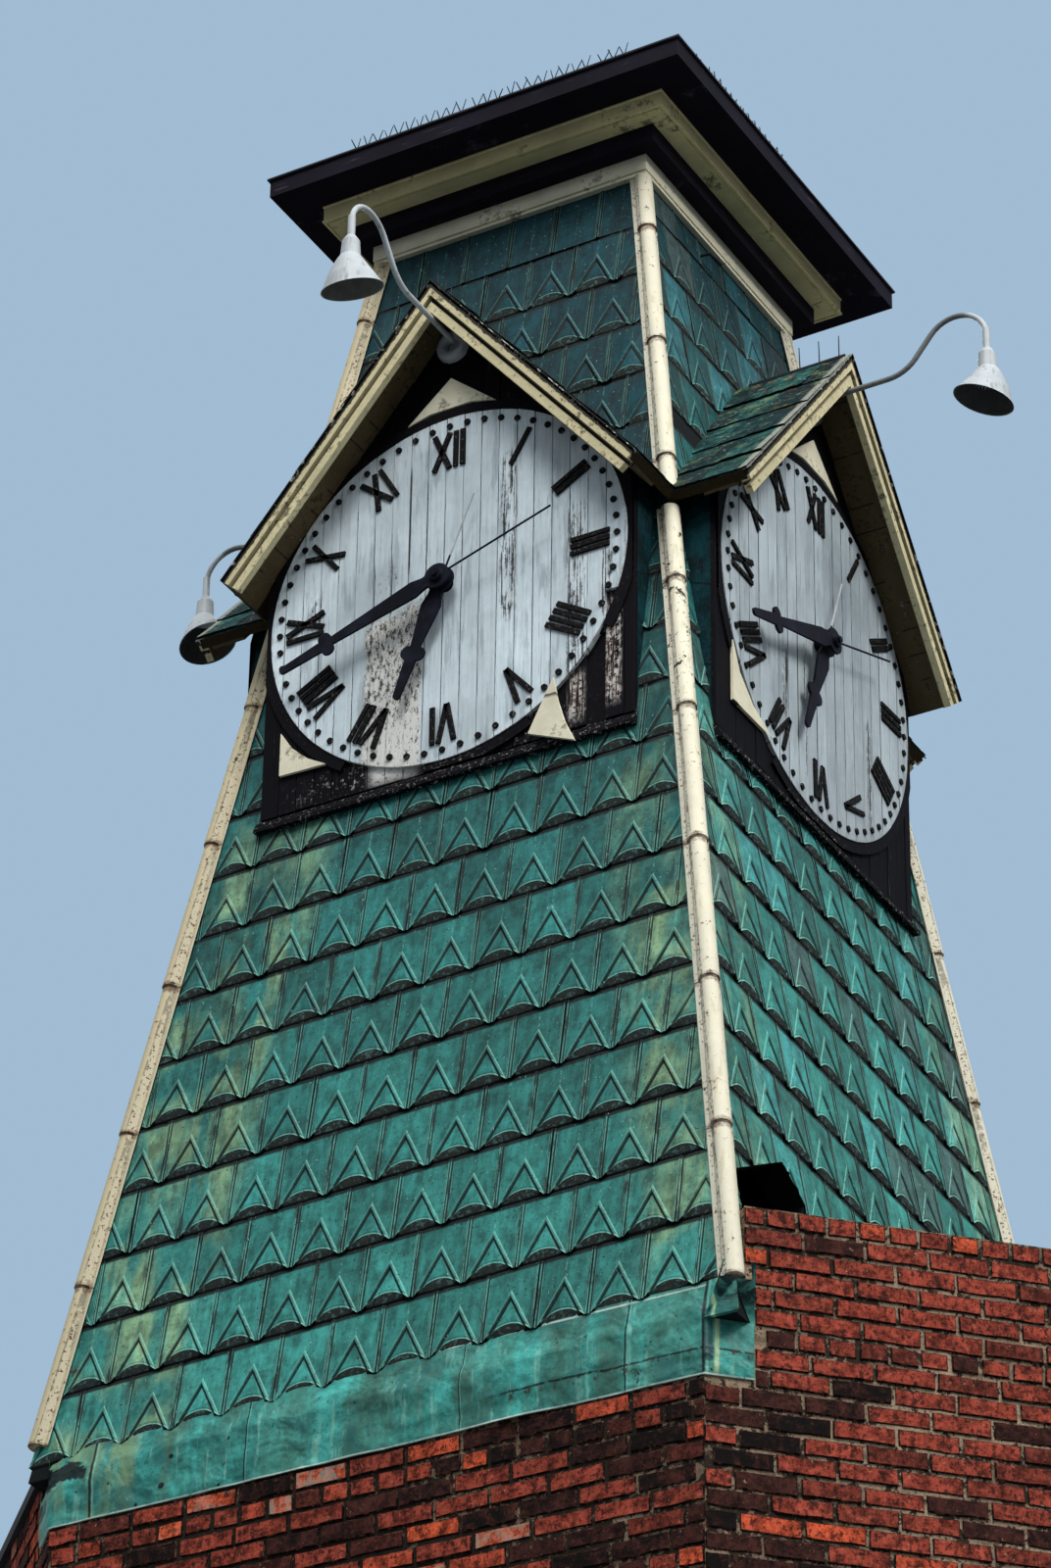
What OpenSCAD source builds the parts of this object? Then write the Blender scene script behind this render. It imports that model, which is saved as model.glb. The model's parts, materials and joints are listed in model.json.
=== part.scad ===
/* [Brick corner building] */
// Height of the brick front up to the lower edge of the metal skirt
base_h = 9400; // [4000:100:16000]
// Half width of the cut-off corner that the tower stands on
corner_half = 1258; // [1200:2:1300]
// Distance from the tower's axis to the face of the cut-off corner
corner_out = 1381; // [1372:1:1400]
// How far each street wall runs sideways from the corner
street_run = 1700; // [1650:10:2600]
// Distance from the tower's axis to the rear wall's face
rear_out = 1850; // [1800:10:2200]
// Thickness of the brick walls
brick_t = 300; // [200:10:330]
// Height of the roof deck over the skirt's lower edge
deck_h = 200; // [150:10:260]
// Thickness of the roof deck
deck_t = 150; // [80:10:250]
// Height of the high parapet over the skirt's lower edge
high_parapet = 630; // [450:10:900]
// Height of the low parapet, coping included, over the skirt's lower edge
low_parapet = 300; // [270:10:440]
// Thickness of the parapet coping
coping_t = 45; // [30:1:60]
// How far the coping stands over the brickwork
coping_lip = 25; // [10:1:50]

/* [Battered tower walls] */
// Half width of the walls, drawn down to the skirt's lower edge
wall_foot_half = 1399; // [1390:1:1410]
// Half width of the walls at their top
wall_top_half = 578; // [500:1:620]
// Height of the walls' top over the skirt's lower edge
wall_top = 5752; // [5600:1:5900]
// Thickness of the framed walls
wall_t = 110; // [60:5:160]
// Radius of a hip roll at the upper end of each length
roll_r_small = 32; // [25:1:36]
// Radius of a hip roll at the lower end of each length
roll_r_big = 38; // [37:1:44]
// Half width of a hip roll over its two wings
wing_half = 46; // [44:1:52]
// Length of hip roll between two laps
roll_length = 628; // [300:2:700]
// Height of the hip rolls' lower end over the skirt's lower edge
roll_foot = 335; // [290:1:360]

/* [Skirt] */
// Thickness of the sheet metal skirt
skirt_t = 6; // [3:0.5:10]
// Length of the flap that wraps round each corner
flap_l = 166; // [60:1:300]
// Height of the flap's upper edge over the skirt's lower edge
flap_top = 378; // [370:1:450]
// Height of the skirt's upper edge over its lower edge
skirt_top = 345; // [300:1:380]

/* [Cornice and roof] */
// Half width of the frieze board
frieze_half = 620; // [600:1:640]
// Height of the frieze board
frieze_h = 92; // [60:1:140]
// Half width of the dark bed under the roof
bed_half = 686; // [650:1:700]
// Height of the dark bed
bed_h = 158; // [140:1:200]
// Half width of the crown moulding
crown_half = 771; // [720:1:800]
// Height of the crown moulding
crown_h = 79; // [50:1:120]
// Half width of the roof
roof_half = 925; // [860:1:980]
// Depth of the roof's edge
roof_edge_h = 81; // [50:1:120]
// Rise of the roof's top from its edge to its peak
roof_rise = 150; // [60:5:400]

/* [Dials] */
// Radius of a dial
dial_r = 762; // [740:1:765]
// Height of the dials' centres over the skirt's lower edge
dial_h = 3680; // [3640:1:3680]
// Distance from the tower's axis to a dial's face
dial_out = 1018; // [1010:1:1030]
// Thickness of a dial
dial_t = 25; // [15:1:35]
// Half width of the dark boarding round a dial
case_half = 789; // [775:1:795]
// Height of the boarding's lower edge over the skirt's lower edge
case_foot = 2830; // [2800:1:2850]
// Thickness of the boarding
board_t = 40; // [25:1:50]
// Height of the sill moulding under a dial
sill_h = 62; // [40:1:70]

/* [Gables] */
// Height of a gable's ridge over the skirt's lower edge
ridge_h = 4982; // [4970:1:5010]
// Height of the eaves over the skirt's lower edge
eave_h = 3887; // [3860:1:3900]
// Half width over the eaves
eave_half = 890; // [880:1:900]
// Distance from the tower's axis to the front of a gable
verge_out = 1178; // [1150:1:1220]
// Thickness of a gable's roof, square to its slope
gable_t = 40; // [30:1:45]
// Depth of a bargeboard, square to its slope
barge_d = 94; // [80:1:98]
// Thickness of a bargeboard
barge_t = 30; // [20:1:40]
// Thickness of the soffit boards
soffit_t = 12; // [8:1:14]

/* [Hands] */
// Hour that the clock shows
shown_hour = 6; // [0:1:11]
// Minute that the clock shows
shown_minute = 42; // [0:1:59]
// Degrees by which the minute hand on the right lags behind the one in front
right_lag = 3; // [0:1:5]
// Length of a minute hand from its pivot to its tip
minute_l = 705; // [660:1:715]
// Length of an hour hand from its pivot to its tip
hour_l = 506; // [440:1:540]
// Length of a minute hand's thin tail
minute_tail = 505; // [300:5:520]
// Length of an hour hand's thin tail
hour_tail = 370; // [200:5:420]
// Thickness of a hand's plate
hand_t = 10; // [6:1:12]
// Radius of the arbor that carries a minute hand
arbor_r = 9; // [7:0.5:10]
// Radius of the pipe that carries an hour hand
pipe_r = 18; // [15:0.5:20]
// Running clearance between a shaft and its hole
running_gap = 0.05; // [0.02:0.01:0.09]

/* [Lamps] */
// Height of a lamp's arm over the skirt's lower edge
arm_h = 4806; // [4790:1:4815]
// Distance from the tower's axis to the middle of a lamp's socket
lamp_out = 1760; // [1700:1:1800]
// Radius of a lamp's arm
arm_r = 11; // [9:1:13]
// Radius of the shade's rim
shade_r = 120; // [100:1:150]
// Height of a shade
shade_h = 133; // [110:1:180]
// Lean of the shade's rim towards the dial
shade_lean = 20; // [0:1:25]
// Thickness of a shade's sheet
shade_t = 4; // [3:0.5:6]

/* [Hidden] */
SIDES = ["front", "right", "back", "left"];
$fn = 48;

// lean of the walls, per millimetre of height, and their half width at a height
wall_lean = (wall_foot_half - wall_top_half) / wall_top;
function wall_half(h) = wall_foot_half - wall_lean * h;

// lean of a hip, and how far under the eaves its lower roll ends
hip_lean = atan(wall_lean * sqrt(2));
roll_stop = 42;
wing_back = 20;
wing_t = 5;

// lower edge of the frieze board
frieze_low = wall_top - frieze_h;

// gap left between pieces that meet on a slope
seat_gap = 1;

// radius kept free round a hip for its roll and wings
roll_room = norm([wing_half, wing_back + wing_t]) + seat_gap;

// pitch of the gables, as a rise per run and as an angle
gable_pitch = (ridge_h - eave_h) / eave_half;
gable_angle = atan(gable_pitch);
function gable_top(x) = ridge_h - gable_pitch * abs(x);

// plan of the brick building: the corner, the street walls' far ends, the rear corners
far_x = corner_half + street_run;
far_y = street_run - corner_out;
rear_x = far_x - (rear_out - far_y);
blunt = tan(22.5);
reach = 4000;

// depths of the moving parts, counted outwards from the dial's face
board_front = -dial_t;
board_back = board_front - board_t;
bush_r = 50;
bush_back = board_back - 63;
pipe_back = board_back - 35;
hour_plate = 36;
pipe_front = hour_plate + hand_t + 4;
minute_plate = hour_plate + hand_t + 20;
arbor_back = bush_back - 6;

minute_turn = shown_minute * 6;
hour_turn = shown_hour * 30 + shown_minute / 2;

// raises what is drawn over the skirt's lower edge to its real height
module over_skirt() {
    translate([0, 0, base_h]) children();
}

// turns what is drawn on the front to side k, counted anticlockwise from above
module on_side(k) {
    rotate([0, 0, 90 * k]) children();
}

// extrudes a profile of [outward, height] points along the front face
module along_face(profile, width) {
    rotate([0, 0, -90]) rotate([90, 0, 0]) linear_extrude(width, center = true) polygon(profile);
}

// extrudes an outline of [across, height] points outwards from a plane of the front
module out_from(plane, depth) {
    translate([0, -plane, 0]) rotate([90, 0, 0]) linear_extrude(depth) children();
}

// the quarter of the plan that belongs to the front
module front_quarter(low, high) {
    translate([0, 0, low]) linear_extrude(high - low)
        polygon([[0, 0], [reach, -reach], [-reach, -reach]]);
}

// the solid mass inside the battered walls, with sides grown by extra
module tower_mass(extra = 0, low = 0, high = wall_top) {
    a = wall_half(low) + extra;
    b = wall_half(high) + extra;
    profile = [[-a, low], [a, low], [b, high], [-b, high]];
    intersection() {
        along_face(profile, 2 * a + 10);
        rotate([0, 0, 90]) along_face(profile, 2 * a + 10);
    }
}

function inset_plan(t) = [
    [-corner_half + t * blunt, -corner_out + t],
    [corner_half - t * blunt, -corner_out + t],
    [far_x - t * sqrt(2), far_y],
    [rear_x - t * blunt, rear_out - t],
    [-rear_x + t * blunt, rear_out - t],
    [-far_x + t * sqrt(2), far_y]
];

// one wall of the plan, from corner i to the next
module plan_wall(i, height, outer = 0, inner = brick_t) {
    a = inset_plan(outer);
    b = inset_plan(inner);
    j = (i + 1) % 6;
    linear_extrude(height) polygon([a[i], a[j], b[j], b[i]]);
}

// a street wall's parapet stops at the tower's hip and its roll, and at the battered side
module clear_of_tower() {
    difference() {
        children();
        tower_mass(0, 100, 1200);
        front_quarter(deck_h, 2000);
        for (side = [0, 1]) mirror([side, 0, 0]) along_hip()
            translate([0, 0, -seat_gap]) cylinder(h = 800, r = roll_room);
    }
}

module street_wall(i, top) {
    color("firebrick") {
        plan_wall(i, base_h + deck_h);
        over_skirt() clear_of_tower() translate([0, 0, deck_h]) plan_wall(i, top - deck_h);
    }
}

module front_brick_wall() {
    color("firebrick") plan_wall(0, base_h + deck_h);
}

module party_wall(i, top) {
    color("firebrick") plan_wall(i, base_h + top);
}

// the coping stands over the street face and the roof, is flush with the party walls,
// and has no lip where the skirt's flap lies on the brick
module parapet_coping() {
    color("#2b2a30") over_skirt() clear_of_tower() difference() {
        translate([0, 0, low_parapet - coping_t]) intersection() {
            union() {
                plan_wall(3, coping_t, 0, brick_t + coping_lip);
                plan_wall(4, coping_t, 0, brick_t + coping_lip);
                plan_wall(5, coping_t, -coping_lip, brick_t + coping_lip);
            }
            translate([-far_x, -reach, 0]) cube([2 * reach, 2 * reach, coping_t]);
        }
        mirror([1, 0, 0]) translate([corner_half, -corner_out, 0]) rotate([0, 0, 45])
            translate([-100, -200, 0]) cube([100 + flap_l + seat_gap, 200 + seat_gap, 1000]);
    }
}

module roof_deck() {
    color("dimgray") over_skirt() translate([0, 0, deck_h - deck_t])
        linear_extrude(deck_t) polygon(inset_plan(brick_t));
}

module tower_wall() {
    profile = [
        [wall_half(deck_h), deck_h],
        [wall_half(wall_top), wall_top],
        [wall_half(wall_top) - wall_t, wall_top],
        [wall_half(deck_h) - wall_t, deck_h]
    ];
    color("seagreen") over_skirt() intersection() {
        along_face(profile, 2 * reach);
        front_quarter(0, wall_top + 10);
    }
}

// the cladding is torn open low on the right side, beside the front hip
module torn_hole() {
    over_skirt() out_from(900, 600)
        polygon([[-1219, 560], [-1219, 817], [-814, 1040], [-682, 932], [-730, 560]]);
}

// stands what is drawn along +Z on the foot of the hip at the front's right end, leaning with it
module along_hip() {
    translate([wall_half(roll_foot), -wall_half(roll_foot), roll_foot])
        rotate([0, 0, -45]) rotate([0, -hip_lean, 0]) children();
}

// the front gable's roof and all that it covers, from a height upwards
module gable_space(low) {
    high = gable_top(eave_half) + seat_gap;
    out_from(0, verge_out + seat_gap) polygon([
        [-eave_half, low], [eave_half, low], [eave_half, high],
        [0, ridge_h + seat_gap], [-eave_half, high]
    ]);
}

// the sheet's wings, bent back from the roll over the two walls
module wings(length) {
    side = [[-4, 22], [-wing_back, wing_half]];
    lean_in = [wing_t, 0];
    linear_extrude(length) polygon([
        side[0], side[1], side[1] - lean_in, side[0] - lean_in,
        [side[0][0] - wing_t, -side[0][1]], [side[1][0] - wing_t, -side[1][1]],
        [side[1][0], -side[1][1]], [side[0][0], -side[0][1]]
    ]);
}

// one tapered length after another up the hip, scribed over the valley between two gables
module hip_roll() {
    slant = 1 / cos(hip_lean);
    count = ceil((frieze_low - roll_foot) / roll_length);
    color("#d9cfa6") over_skirt() difference() {
        along_hip() {
            for (i = [0:count - 1]) translate([0, 0, i * roll_length * slant])
                cylinder(h = roll_length * slant + 6, r1 = roll_r_big, r2 = roll_r_small, $fn = 24);
            wings(count * roll_length * slant);
        }
        tower_mass(0, 0, wall_top);
        translate([-reach / 2, -reach / 2, frieze_low]) cube([reach, reach, reach]);
        for (k = [0, 1]) on_side(k) gable_space(eave_h - roll_stop);
    }
}

// plan of the sheet on the brick corner and its two flaps
module skirt_plan(extra) {
    d = flap_l / sqrt(2);
    n = extra / sqrt(2);
    for (side = [0, 1]) mirror([side, 0])
        polygon([
            [0, -corner_out], [corner_half, -corner_out], [corner_half + d, -corner_out + d],
            [corner_half + d + n, -corner_out + d - n],
            [corner_half + extra * blunt, -corner_out - extra], [0, -corner_out - extra]
        ]);
}

// each flap stands out round the foot of the hip roll
module skirt_flap() {
    lift = flap_top - deck_h;
    rise_r = 74;
    difference() {
        hull() {
            translate([corner_half, -corner_out, deck_h - 1]) rotate([0, 0, 45])
                translate([0, -skirt_t, 0]) cube([flap_l, skirt_t, 1]);
            translate([corner_half, -corner_out, flap_top]) rotate([0, 0, 45])
                translate([40, -rise_r - skirt_t, 0]) cube([flap_l - 60, skirt_t, 1]);
        }
        tower_mass(0, 0, 1000);
        translate([wall_half(roll_foot), -wall_half(roll_foot), roll_foot - 10])
            cylinder(h = lift, r = roll_room + 2, $fn = 24);
    }
}

module skirt_flashing() {
    upper = [
        [corner_out + skirt_t, deck_h], [wall_half(skirt_top) + skirt_t, skirt_top],
        [wall_half(skirt_top), skirt_top], [wall_half(deck_h), deck_h]
    ];
    color("#2f8f7d") over_skirt() {
        linear_extrude(deck_h) skirt_plan(skirt_t);
        difference() {
            intersection() {
                along_face(upper, 2 * reach);
                front_quarter(0, 1000);
            }
            for (side = [0, 1]) mirror([side, 0, 0])
                translate([wall_half(roll_foot), -wall_half(roll_foot), roll_foot - 10])
                    cylinder(h = 100, r = roll_room + 2, $fn = 24);
        }
        for (side = [0, 1]) mirror([side, 0, 0]) skirt_flap();
    }
}

module square_block(half, low, high) {
    translate([-half, -half, low]) cube([2 * half, 2 * half, high - low]);
}

// a board over a thin strip, with a groove between them
module frieze_board() {
    color("#d9cfa6") over_skirt() difference() {
        union() {
            square_block(frieze_half, frieze_low + 20, wall_top);
            square_block(frieze_half - 12, frieze_low, frieze_low + 21);
            square_block(frieze_half - 3, frieze_low, frieze_low + 12);
        }
        tower_mass(0, 0, wall_top);
    }
}

module cornice_bed() {
    color("#1d1b22") over_skirt() square_block(bed_half, wall_top, wall_top + bed_h);
}

// a boxed cornice with a fillet at the top, a bead at the lower edge and a grooved soffit
module crown_moulding() {
    low = wall_top + bed_h - crown_h;
    high = wall_top + bed_h;
    fillet = 4;
    profile = [
        [bed_half, low], [crown_half - 18, low], [crown_half - 18, low + 6],
        [crown_half - 10, low + 6], [crown_half - 10, low], [crown_half, low],
        [crown_half, low + 8], [crown_half - fillet, low + 11],
        [crown_half - fillet, high - 9], [crown_half, high - 6], [crown_half, high], [bed_half, high]
    ];
    color("#d9cfa6") over_skirt() for (k = [0:3]) on_side(k) intersection() {
        along_face(profile, 2 * reach);
        front_quarter(low - 10, high + 10);
    }
}

module roof_slab() {
    low = wall_top + bed_h;
    color("#241f33") over_skirt() square_block(roof_half, low, low + roof_edge_h);
}

module roof_cap() {
    low = wall_top + bed_h + roof_edge_h;
    half = roof_half + 10;
    profile = [[-half, low], [half, low], [half, low + 8], [0, low + roof_rise], [-half, low + 8]];
    color("#3b3d45") over_skirt() intersection() {
        along_face(profile, 2 * half + 10);
        rotate([0, 0, 90]) along_face(profile, 2 * half + 10);
    }
}

// outline under the gable's roof, from a height upwards
module gable_outline(half, low, drop) {
    polygon([
        [-half, low], [half, low], [half, gable_top(half) - drop],
        [0, gable_top(0) - drop], [-half, gable_top(half) - drop]
    ]);
}

slab_drop = gable_t / cos(gable_angle) + seat_gap;

// the strip under both slopes, between two depths square to them, cut square at the eaves
module slope_strip(near, far) {
    inward = [-sin(gable_angle), -cos(gable_angle)];
    tip = [eave_half, eave_h];
    near_end = tip + inward * near;
    far_end = tip + inward * far;
    polygon([
        [0, ridge_h - near / cos(gable_angle)], near_end, far_end,
        [0, ridge_h - far / cos(gable_angle)], [-far_end[0], far_end[1]], [-near_end[0], near_end[1]]
    ]);
}

// the upper sheet stands over the verge as a thin drip edge
module gable_roof() {
    color("#3d6b4a") over_skirt() difference() {
        intersection() {
            union() {
                out_from(0, verge_out) slope_strip(0, gable_t);
                out_from(0, verge_out + 16) slope_strip(0, 5);
            }
            front_quarter(0, reach * 2);
        }
        tower_mass(0, 0, wall_top);
    }
}

// two boards along each slope with a deep groove between them, and the soffit boards behind
module bargeboards() {
    groove = 12;
    upper_low = 46;
    lower_high = 62;
    color("#cbbf94") over_skirt() difference() {
        union() {
            out_from(verge_out - barge_t, barge_t - groove) slope_strip(gable_t, barge_d);
            out_from(verge_out - groove - 1, groove + 3) slope_strip(lower_high, barge_d);
            out_from(verge_out - groove - 1, groove + 1) slope_strip(gable_t, upper_low);
            out_from(verge_out, 10) slope_strip(14, upper_low);
            intersection() {
                out_from(dial_out - dial_t, verge_out - dial_out + dial_t - barge_t + 1)
                    slope_strip(gable_t, gable_t + soffit_t);
                front_quarter(0, reach * 2);
            }
        }
        tower_mass(0, 0, wall_top);
    }
}

module shaft_bores() {
    bore_deep = dial_out + pipe_back - 2;
    translate([0, -bore_deep, dial_h]) rotate([90, 0, 0])
        cylinder(h = 200, r = pipe_r + running_gap);
    translate([0, -dial_out - bush_back + 10, dial_h]) rotate([90, 0, 0])
        cylinder(h = 100, r = arbor_r + running_gap);
}

// dark boards round the dial, cheeks back to the battered wall, a moulded sill, the shafts' bush
module dial_case() {
    plane = dial_out - dial_t;
    sill = [
        [plane - 80, case_foot], [plane + 38, case_foot], [plane + 38, case_foot + 16],
        [plane + 26, case_foot + 26], [plane + 22, case_foot + 44], [plane, case_foot + sill_h],
        [plane - 80, case_foot + sill_h]
    ];
    color("#23222a") over_skirt() difference() {
        union() {
            out_from(plane - board_t, board_t) gable_outline(case_half, case_foot, slab_drop);
            for (side = [-1, 1]) intersection() {
                out_from(500, plane - 500) gable_outline(case_half, case_foot, slab_drop);
                translate([side * (case_half - 12.5), 0, 0]) cube([25, reach, 3 * reach], center = true);
            }
            along_face(sill, 2 * case_half + 16);
            translate([0, -dial_out - board_back - 1, dial_h]) rotate([-90, 0, 0])
                cylinder(h = board_back - bush_back + 1, r = bush_r);
        }
        tower_mass(0, 0, wall_top);
        shaft_bores();
    }
}

module dial() {
    color("#dfe6ea") over_skirt() translate([0, -dial_out, dial_h]) rotate([-90, 0, 0])
        difference() {
            cylinder(h = dial_t, r = dial_r, $fn = 96);
            translate([0, 0, -1]) cylinder(h = dial_t + 2, r = pipe_r + 8);
        }
}

// places a hand part by its depth in front of the dial, turned clockwise from twelve
module on_dial(depth, turn) {
    over_skirt() translate([0, -dial_out - depth, dial_h]) rotate([90, 0, 0]) rotate([0, 0, -turn]) children();
}

// a blade that swells past the hub, narrows to a pair of round lobes and ends in a blunt spear
module hand_outline(length, hub, neck, swell, waist, lobe_at, lobe, spear, tip) {
    circle(r = hub);
    for (side = [-1, 1]) translate([side * lobe * 0.9, lobe_at]) circle(r = lobe);
    translate([0, length - tip]) circle(r = tip);
    polygon([
        [-neck, 0], [neck, 0], [neck, hub + 8], [swell, hub * 2], [waist, lobe_at - lobe],
        [waist, lobe_at], [spear, lobe_at + lobe + 6], [tip, length - tip],
        [-tip, length - tip], [-spear, lobe_at + lobe + 6], [-waist, lobe_at],
        [-waist, lobe_at - lobe], [-swell, hub * 2], [-neck, hub + 8]
    ]);
}

module hour_hand() {
    color("#17171c") on_dial(0, hour_turn) difference() {
        union() {
            translate([0, 0, hour_plate]) linear_extrude(hand_t)
                hand_outline(hour_l, 55, 30, 44, 21, 312, 28, 25, 16);
            translate([0, 0, pipe_back]) cylinder(h = pipe_front - pipe_back, r = pipe_r);
            translate([0, 0, hour_plate - 16]) cylinder(h = 16, r = 34);
            translate([0, 0, hour_plate + hand_t / 2]) rotate([90, 0, 0]) cylinder(h = hour_tail, r = 4, $fn = 16);
        }
        translate([0, 0, pipe_back - 1]) cylinder(h = 400, r = arbor_r + running_gap);
    }
}

module minute_hand(lag = 0) {
    color("#17171c") on_dial(0, minute_turn - lag) {
        translate([0, 0, minute_plate]) linear_extrude(hand_t)
            hand_outline(minute_l, 52, 26, 37, 17, 496, 27, 22, 15);
        translate([0, 0, arbor_back]) cylinder(h = minute_plate - arbor_back + 1, r = arbor_r);
        translate([0, 0, minute_plate - 8]) cylinder(h = 8, r = 20);
        translate([0, 0, minute_plate + hand_t]) cylinder(h = 14, r1 = 30, r2 = 24);
        translate([0, 0, minute_plate + hand_t + 14]) cylinder(h = 10, r = 13, $fn = 6);
        translate([0, 0, minute_plate + hand_t / 2]) rotate([90, 0, 0]) cylinder(h = minute_tail, r = 4, $fn = 16);
    }
}

// points of an arc about a centre, from one angle to another
function arc(centre, radius, from, to, steps) = [
    for (i = [0:steps]) let (a = from + (to - from) * i / steps) centre + radius * [cos(a), sin(a)]
];

// a ring of points square to a heading in the plane z = 0
function ring(centre, heading, radius, count) = [
    for (j = [0:count - 1]) let (a = 360 * j / count, across = radius * cos(a))
        [centre[0] - sin(heading) * across, centre[1] + cos(heading) * across, radius * sin(a)]
];

// the closed skin over a row of rings
module skin(rings) {
    count = len(rings[0]);
    sides = [
        for (i = [0:len(rings) - 2]) for (j = [0:count - 1]) let (
            a = i * count + j,
            b = i * count + (j + 1) % count
        ) each [[a, b + count, b], [a, a + count, b + count]]
    ];
    first = [for (j = [1:count - 2]) [0, j, j + 1]];
    base = (len(rings) - 1) * count;
    last = [for (j = [1:count - 2]) [base, base + j + 1, base + j]];
    polyhedron(points = [for (points = rings) each points], faces = concat(sides, first, last));
}

// a round tube along a path
function heading(path, i) =
    let (a = path[max(i - 1, 0)], b = path[min(i + 1, len(path) - 1)]) atan2(b[1] - a[1], b[0] - a[0]);
module tube_along(path) {
    skin([for (i = [0:len(path) - 1]) ring(path[i], heading(path, i), arm_r, 12)]);
}

// the arm's middle line as [outward, height]: out from the wall, up, over and down to the shade
bend_rise = 52;
low_bend = 150;
top_bend = 130;
rise_run = 110;
neck_h = 4702;
socket_h = 100;
arm_start = lamp_out - top_bend * (1 + sin(bend_rise)) - rise_run * cos(bend_rise) - low_bend * sin(bend_rise);
top_centre = [
    lamp_out - top_bend,
    arm_h + low_bend * (1 - cos(bend_rise)) + rise_run * sin(bend_rise) - top_bend * cos(bend_rise)
];
arm_path = concat(
    [[dial_out - dial_t + 8, arm_h], [(dial_out + arm_start) / 2, arm_h]],
    arc([arm_start, arm_h + low_bend], low_bend, -90, bend_rise - 90, 6),
    arc(top_centre, top_bend, bend_rise + 90, 0, 14),
    [[lamp_out, neck_h + socket_h - 10]]
);

// the shade, swept from the socket to its rim along a line that bends towards the dial:
// each ring as [way from socket to rim, radius], down the outside and up the inside
shade_shift = 22;
shade_rings = [
    [0, 40], [0.06, 46], [0.14, 53], [0.4, 73], [0.66, 93], [0.93, 113], [1, shade_r],
    [1, shade_r - shade_t], [0.93, 113 - shade_t], [0.66, 93 - shade_t], [0.4, 73 - shade_t],
    [0.14, 53 - shade_t], [0.08, 42]
];
module shade() {
    skin([
        for (r = shade_rings) ring([lamp_out - shade_shift * r[0] * r[0], neck_h - shade_h * r[0]],
            -90 - shade_lean * r[0], r[1], 32)
    ]);
}

// a domed plate on the boards with a dimple in which the arm starts
module canopy() {
    rotate([0, 90, 0]) rotate_extrude() polygon([
        [0, 0], [70, 0], [70, 18], [67, 29], [61, 37], [53, 41], [44, 41], [36, 38], [29, 30],
        [26, 20], [25, 12], [0, 12]
    ]);
}

// the arm, the sleeve and socket at its end and the shade, which is open below
module lamp() {
    color("#b9bfc4") over_skirt() rotate([0, 0, -90]) rotate([90, 0, 0]) {
        translate([dial_out - dial_t, arm_h - 24, 0]) canopy();
        tube_along(arm_path);
        translate([lamp_out, neck_h + socket_h - 6, 0]) rotate([-90, 0, 0]) cylinder(h = 100, r = arm_r + 3.5);
        difference() {
            union() {
                shade();
                translate([lamp_out, neck_h, 0]) rotate([-90, 0, 0]) rotate_extrude() polygon([
                    [0, socket_h], [14, socket_h], [19, socket_h - 3], [34, socket_h - 28],
                    [35, socket_h - 44], [39, -2], [0, -2]
                ]);
            }
            translate([lamp_out, neck_h - 20, 0]) rotate([-90, 0, 0]) cylinder(h = 70, r = 30);
        }
    }
}

front_brick_wall();
street_wall(1, high_parapet);  // right_street_wall
street_wall(5, low_parapet - coping_t);  // left_street_wall
party_wall(2, high_parapet);  // right_party_wall
party_wall(4, low_parapet - coping_t);  // left_party_wall
party_wall(3, low_parapet - coping_t);  // rear_brick_wall
parapet_coping();
roof_deck();
difference() {  // right_tower_wall
    on_side(1) tower_wall();
    on_side(1) torn_hole();
}
for (k = [0, 2, 3])
    on_side(k) tower_wall();
for (k = [0:3]) {
    hip_name = ["front_right", "back_right", "back_left", "front_left"][k];
    on_side(k) hip_roll();
}
skirt_flashing();
frieze_board();
cornice_bed();
crown_moulding();
roof_slab();
roof_cap();
for (k = [0:3]) on_side(k) {
    dial_case();
    dial();
    hour_hand();
    minute_hand(k == 1 ? right_lag : 0);
    gable_roof();
    bargeboards();
    lamp();
}
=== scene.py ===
"""Clock tower: cladding, brickwork, dials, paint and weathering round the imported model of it."""

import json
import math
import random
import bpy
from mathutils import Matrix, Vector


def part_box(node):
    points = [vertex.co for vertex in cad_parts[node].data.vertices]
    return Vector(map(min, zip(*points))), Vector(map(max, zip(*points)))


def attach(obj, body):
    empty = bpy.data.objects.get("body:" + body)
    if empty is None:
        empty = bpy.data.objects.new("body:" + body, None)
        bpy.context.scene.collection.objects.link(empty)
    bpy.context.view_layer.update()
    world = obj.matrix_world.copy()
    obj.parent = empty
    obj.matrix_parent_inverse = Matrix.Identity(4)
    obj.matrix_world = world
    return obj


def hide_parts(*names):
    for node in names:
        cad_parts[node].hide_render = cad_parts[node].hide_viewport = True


bl_info = {
    "name": "Clock tower with pressed metal shingles",
    "version": (1, 0, 0),
    "blender": (4, 5, 0),
    "location": "3D View > Sidebar > Clock tower",
    "description": "Clads the clock tower and makes its brickwork, dials, paint and weathering",
    "category": "Object",
}

import bmesh
import bpy
from bpy.props import FloatProperty, FloatVectorProperty, PointerProperty
from mathutils import Matrix, Vector, noise

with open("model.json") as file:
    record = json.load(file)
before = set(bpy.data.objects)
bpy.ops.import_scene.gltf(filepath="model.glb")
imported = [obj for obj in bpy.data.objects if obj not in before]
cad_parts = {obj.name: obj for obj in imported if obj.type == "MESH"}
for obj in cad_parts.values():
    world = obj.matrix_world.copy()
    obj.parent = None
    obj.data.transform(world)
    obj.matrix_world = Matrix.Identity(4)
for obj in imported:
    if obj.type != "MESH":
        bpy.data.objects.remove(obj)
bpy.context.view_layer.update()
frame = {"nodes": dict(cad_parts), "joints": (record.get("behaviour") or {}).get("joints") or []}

SIDES = ("front", "right", "back", "left")
HIPS = ("front_right", "back_right", "back_left", "front_left")

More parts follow.
